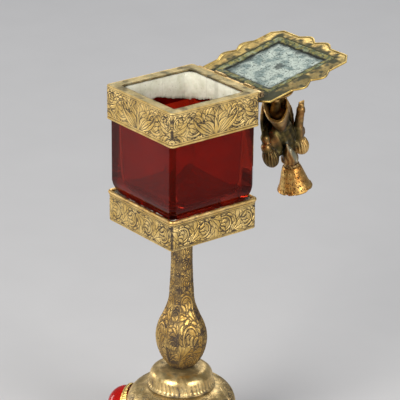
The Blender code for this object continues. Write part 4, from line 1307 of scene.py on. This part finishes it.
def sculpt_figure():
    """A kneeling bearer who faces +X, with the head turned to +Y and a padded ring on it for the basket."""
    base, head_x, look = FIGURE_BASE, 0.4, radians(35)
    clay = Clay((-10.0, -15.0, base - 0.6), (12.0, 15.6, NECK_Z + 0.8), 0.25)
    for sculpt in (sculpt_legs, sculpt_trunk, sculpt_skirt, sculpt_cloak, sculpt_arms):
        sculpt(clay, base)

    x, y, z = clay.x, clay.y, clay.z
    clay.x = (x - head_x) * cos(look) + y * sin(look)
    clay.y = y * cos(look) - (x - head_x) * sin(look)
    mouth_z = sculpt_head(clay, NECK_Z - 0.3)
    clay.x, clay.y = x, y
    beard = clay.limb((2.0, 1.6, mouth_z + 1.2), (5.0, 4.0, base + 24.2), 4.0, 0.3)
    waves = 0.14 * np.sin(3.4 * (0.61 * x - 0.79 * y) + 1.2 * np.sin(0.9 * z))
    clay.add(beard + waves, 0.3)
    turn = np.arctan2(y, x - 0.5)
    collar = clay.limb((0.2, 0, base + 31.4), (0.3, 0, base + 31.8), 2.8, 2.6)
    collar = np.maximum(collar, np.abs(z - base - 31.4 + 0.12 * x) - 0.7)
    clay.add(collar + 0.12 * np.cos(24 * turn), 0.3)
    ring = np.sqrt((np.hypot(x - 0.5, y) - 2.7) ** 2 + (z - NECK_Z + 0.5) ** 2) - 0.85
    clay.add(ring + 0.1 * np.sin(16 * turn + 3 * z), 0.3)
    return clay.surface()


def make_figure():
    """The figure, with tones for rubbed gold and painted light in the lower skirt, olive tarnish, a pale
    strip along the beard's edge, and dirt.
    """
    points, faces = sculpt_figure()
    hollow = concavity(points, faces)
    for _ in range(3):
        hollow = spread(hollow, faces)
    x, y, z = *points.T[:2], points[:, 2] - FIGURE_BASE
    neck = NECK_Z - FIGURE_BASE
    in_front = 0.79 * x + 0.61 * y

    def near(spot, inner, outer):
        away = np.linalg.norm(points - (spot[0], spot[1], FIGURE_BASE + spot[2]), axis=1)
        return smooth(outer, inner, away)

    rubbed = unit(smooth(0.004, -0.02, hollow) * (0.35 + 0.65 * blotches(points, 3.6, 141, -0.2, 0.9)))
    right_puff, left_puff = near((0.3, -7.6, 32.0), 4.0, 6.0), near((-1.2, 9.6, 29.5), 4.6, 6.4)
    hem = smooth(1.9, 0.7, np.abs(z - 6.8 + 0.3 * x)) * smooth(4.0, 6.0, np.hypot(x, y))
    trunk = smooth(10.5, 14.0, z) * smooth(33.0, 30.0, z) * smooth(-7.0, -5.4, y)
    trunk = trunk * (1 - smooth(5.3, 6.1, in_front))
    olive = unit(np.maximum(trunk, 0.8 * left_puff) * blotches(points, 3.0, 143, -1.4, -0.6))
    # A pale strip along the beard's edge.
    from_edge = np.abs(0.625 * x - 0.78 * y - 0.3 - 0.33 * (z - 24.2))
    pale_strip = smooth(1.5, 0.7, from_edge) * smooth(23.5, 25, z) * smooth(neck - 1, neck - 4, z)
    pale_strip = 0.8 * pale_strip * smooth(3.0, 4.0, in_front)
    # Painted light: lighter gold over the lower skirt and its shaded inside.
    skirt = 0.4 * smooth(13.5, 11.0, z)
    gold_and_light = unit((rubbed + 0.8 * right_puff + 0.75 * hem + skirt) * (1 - 0.75 * olive))
    dirt = unit(smooth(0.0, 0.03, hollow) + 0.35 * blotches(points, 2.0, 142))
    tones = {"gold_and_light": gold_and_light, "dirt": dirt, "olive": olive, "pale_strip": pale_strip}
    mesh_piece("kneeling_bearer", swing_open(points), faces, figure_gilt(), "lid", ["finial_figure"], **tones)


def make_basket():
    """A flared, pitted basket with a nicked edge and rows of slanting cuts."""
    outer = [(3.9, NECK_Z), (4.3, NECK_Z + 0.5), (4.75, 54.0), (5.4, 56.2), (6.0, 58.3), (6.6, 60.4)]
    outer = finely([*outer, (7.3, 62.4), (8.1, 63.8)], 0.2)
    inner = finely([(8.15, BASKET_TOP), (7.6, 63.9), (5.6, 60.0), (4.1, 56.4), (2.9, 54.4)], 0.3)
    skin, turn, along = turned(np.concatenate([outer, inner]), 260)
    along = along[:, None]
    outside = (np.arange(len(skin)) < len(outer))[:, None]
    nicks = blotches(xyz(8 * np.cos(turn), 8 * np.sin(turn), 0), 1.1, 151, 0.1, 0.7)
    skin[..., 2] -= 0.5 * nicks * smooth(62.6, 63.9, skin[..., 2])
    slant = np.sin(26 * turn + 3.0 * along) * unit(np.sin(2 * pi * along / 2.1))
    cuts = smooth(0.45, 0.9, slant) * outside * smooth(1.0, 3.0, along)
    pits = blotches(skin, 0.9, 152, 0.55)
    skin = raised(skin, (-0.22 * cuts - 0.28 * pits + 0.1 * noise(skin, 1.8, 153) - 0.1) * outside)
    dirt = unit(0.75 * cuts + 0.95 * pits + 0.5 * (1 - outside))
    paint = gilt("basket_gilt")
    skin = swing_open(skin)
    ring_piece("pitted_basket", skin, paint, "lid", ["finial_basket"], close_rows=False, dirt=dirt)


# Fixings, and the stage


def make_fixings():
    """The CAD's own pieces that stay in the scene get a finish of their own."""
    pin, dark, plain = iron("pin_metal", (0.18, 0.13, 0.07)), iron("fixing_iron"), gilt("plain_gilt", False)
    hidden = ("tie_rod", "foot_nut", "floor_nut", "foot_washer")
    for nodes, paint in ((("hinge_pin",), pin), (hidden, dark), (("box_floor", "foot_bottom_plate"), plain)):
        for node in nodes:
            materials = frame["nodes"][node].data.materials
            materials.clear()
            materials.append(paint)


def make_floor():
    half, drop = 1.6, 0.0002
    mesh = bpy.data.meshes.new("floor")
    corners = [(x * half, y * half, -drop) for x, y in ((-1, -1), (1, -1), (1, 1), (-1, 1))]
    mesh.from_pydata(corners, [], [(0, 1, 2, 3)])
    floor = bpy.data.objects.new("floor", mesh)
    bpy.context.scene.collection.objects.link(floor)
    paint = Paint("floor_paper")
    grey = paint.mix(paint.noise(40.0, 2), (0.60, 0.60, 0.61), (0.64, 0.64, 0.65))
    paint.set(Base_Color=grey, Roughness=0.9)
    mesh.materials.append(paint.material)


# Name, place in metres, size in metres, power in watts and colour
LIGHTS = (
    ("key", (0.25, -0.95, 0.5), 0.6, 12.0, (1.0, 0.97, 0.92)),
    ("fill", (0.95, 0.1, 0.4), 0.5, 6.0, (1.0, 0.98, 0.95)),
    ("left", (-0.95, -0.45, 0.2), 0.4, 2.4, (1.0, 0.98, 0.94)),
    ("back", (-0.6, 0.6, 0.9), 0.6, 3.6, (1.0, 1.0, 1.0)),
)


def make_lights():
    world = bpy.data.worlds.new("studio")
    world.use_nodes = True
    sky = world.node_tree.nodes["Background"].inputs
    sky["Color"].default_value = (0.86, 0.88, 0.92, 1)
    sky["Strength"].default_value = 0.26
    bpy.context.scene.world = world
    bpy.context.scene.view_settings.view_transform = "Standard"
    target = Vector((0, 0, 0.12))
    for name, at, size, power, colour in LIGHTS:
        lamp = bpy.data.lights.new(name, "AREA")
        lamp.shape, lamp.size, lamp.energy, lamp.color = "DISK", size, power, colour
        made = bpy.data.objects.new(name, lamp)
        made.location = at
        made.rotation_euler = (target - Vector(at)).to_track_quat("-Z", "Y").to_euler()
        bpy.context.scene.collection.objects.link(made)


def make_camera():
    """A camera that looks down on the vessel, one corner of the box turned to the lens."""
    azimuth, elevation, roll, distance = radians(-37.36), radians(22.08), radians(0.3), 1.0
    aim = Vector((0, 0, (RIM_Z - 52.08) * MM))
    out = Vector((cos(azimuth) * cos(elevation), sin(azimuth) * cos(elevation), sin(elevation)))
    right = Vector((-sin(azimuth), cos(azimuth), 0))
    up = out.cross(right)
    right, up = right * cos(roll) + up * sin(roll), up * cos(roll) - right * sin(roll)
    lens = bpy.data.cameras.new("camera")
    lens.lens, lens.sensor_width, lens.shift_x = 205.0, 36.0, 0.0448
    made = bpy.data.objects.new("camera", lens)
    facing = Matrix((right, up, out)).transposed().to_4x4()
    made.matrix_world = Matrix.Translation(aim + out * distance) @ facing
    bpy.context.scene.collection.objects.link(made)
    bpy.context.scene.camera = made


for make in (make_bands, make_rim, make_lip, make_lining, make_bedding, make_glass, make_stem):
    make()
foot_paint = gilt("foot_gilt")
for make in (make_dome, make_cap, make_base):
    make(foot_paint)
for make in (make_jewels, make_hinge, make_cover, make_border, make_plate, make_figure, make_basket):
    make()
for make in (make_fixings, make_floor, make_lights, make_camera):
    make()
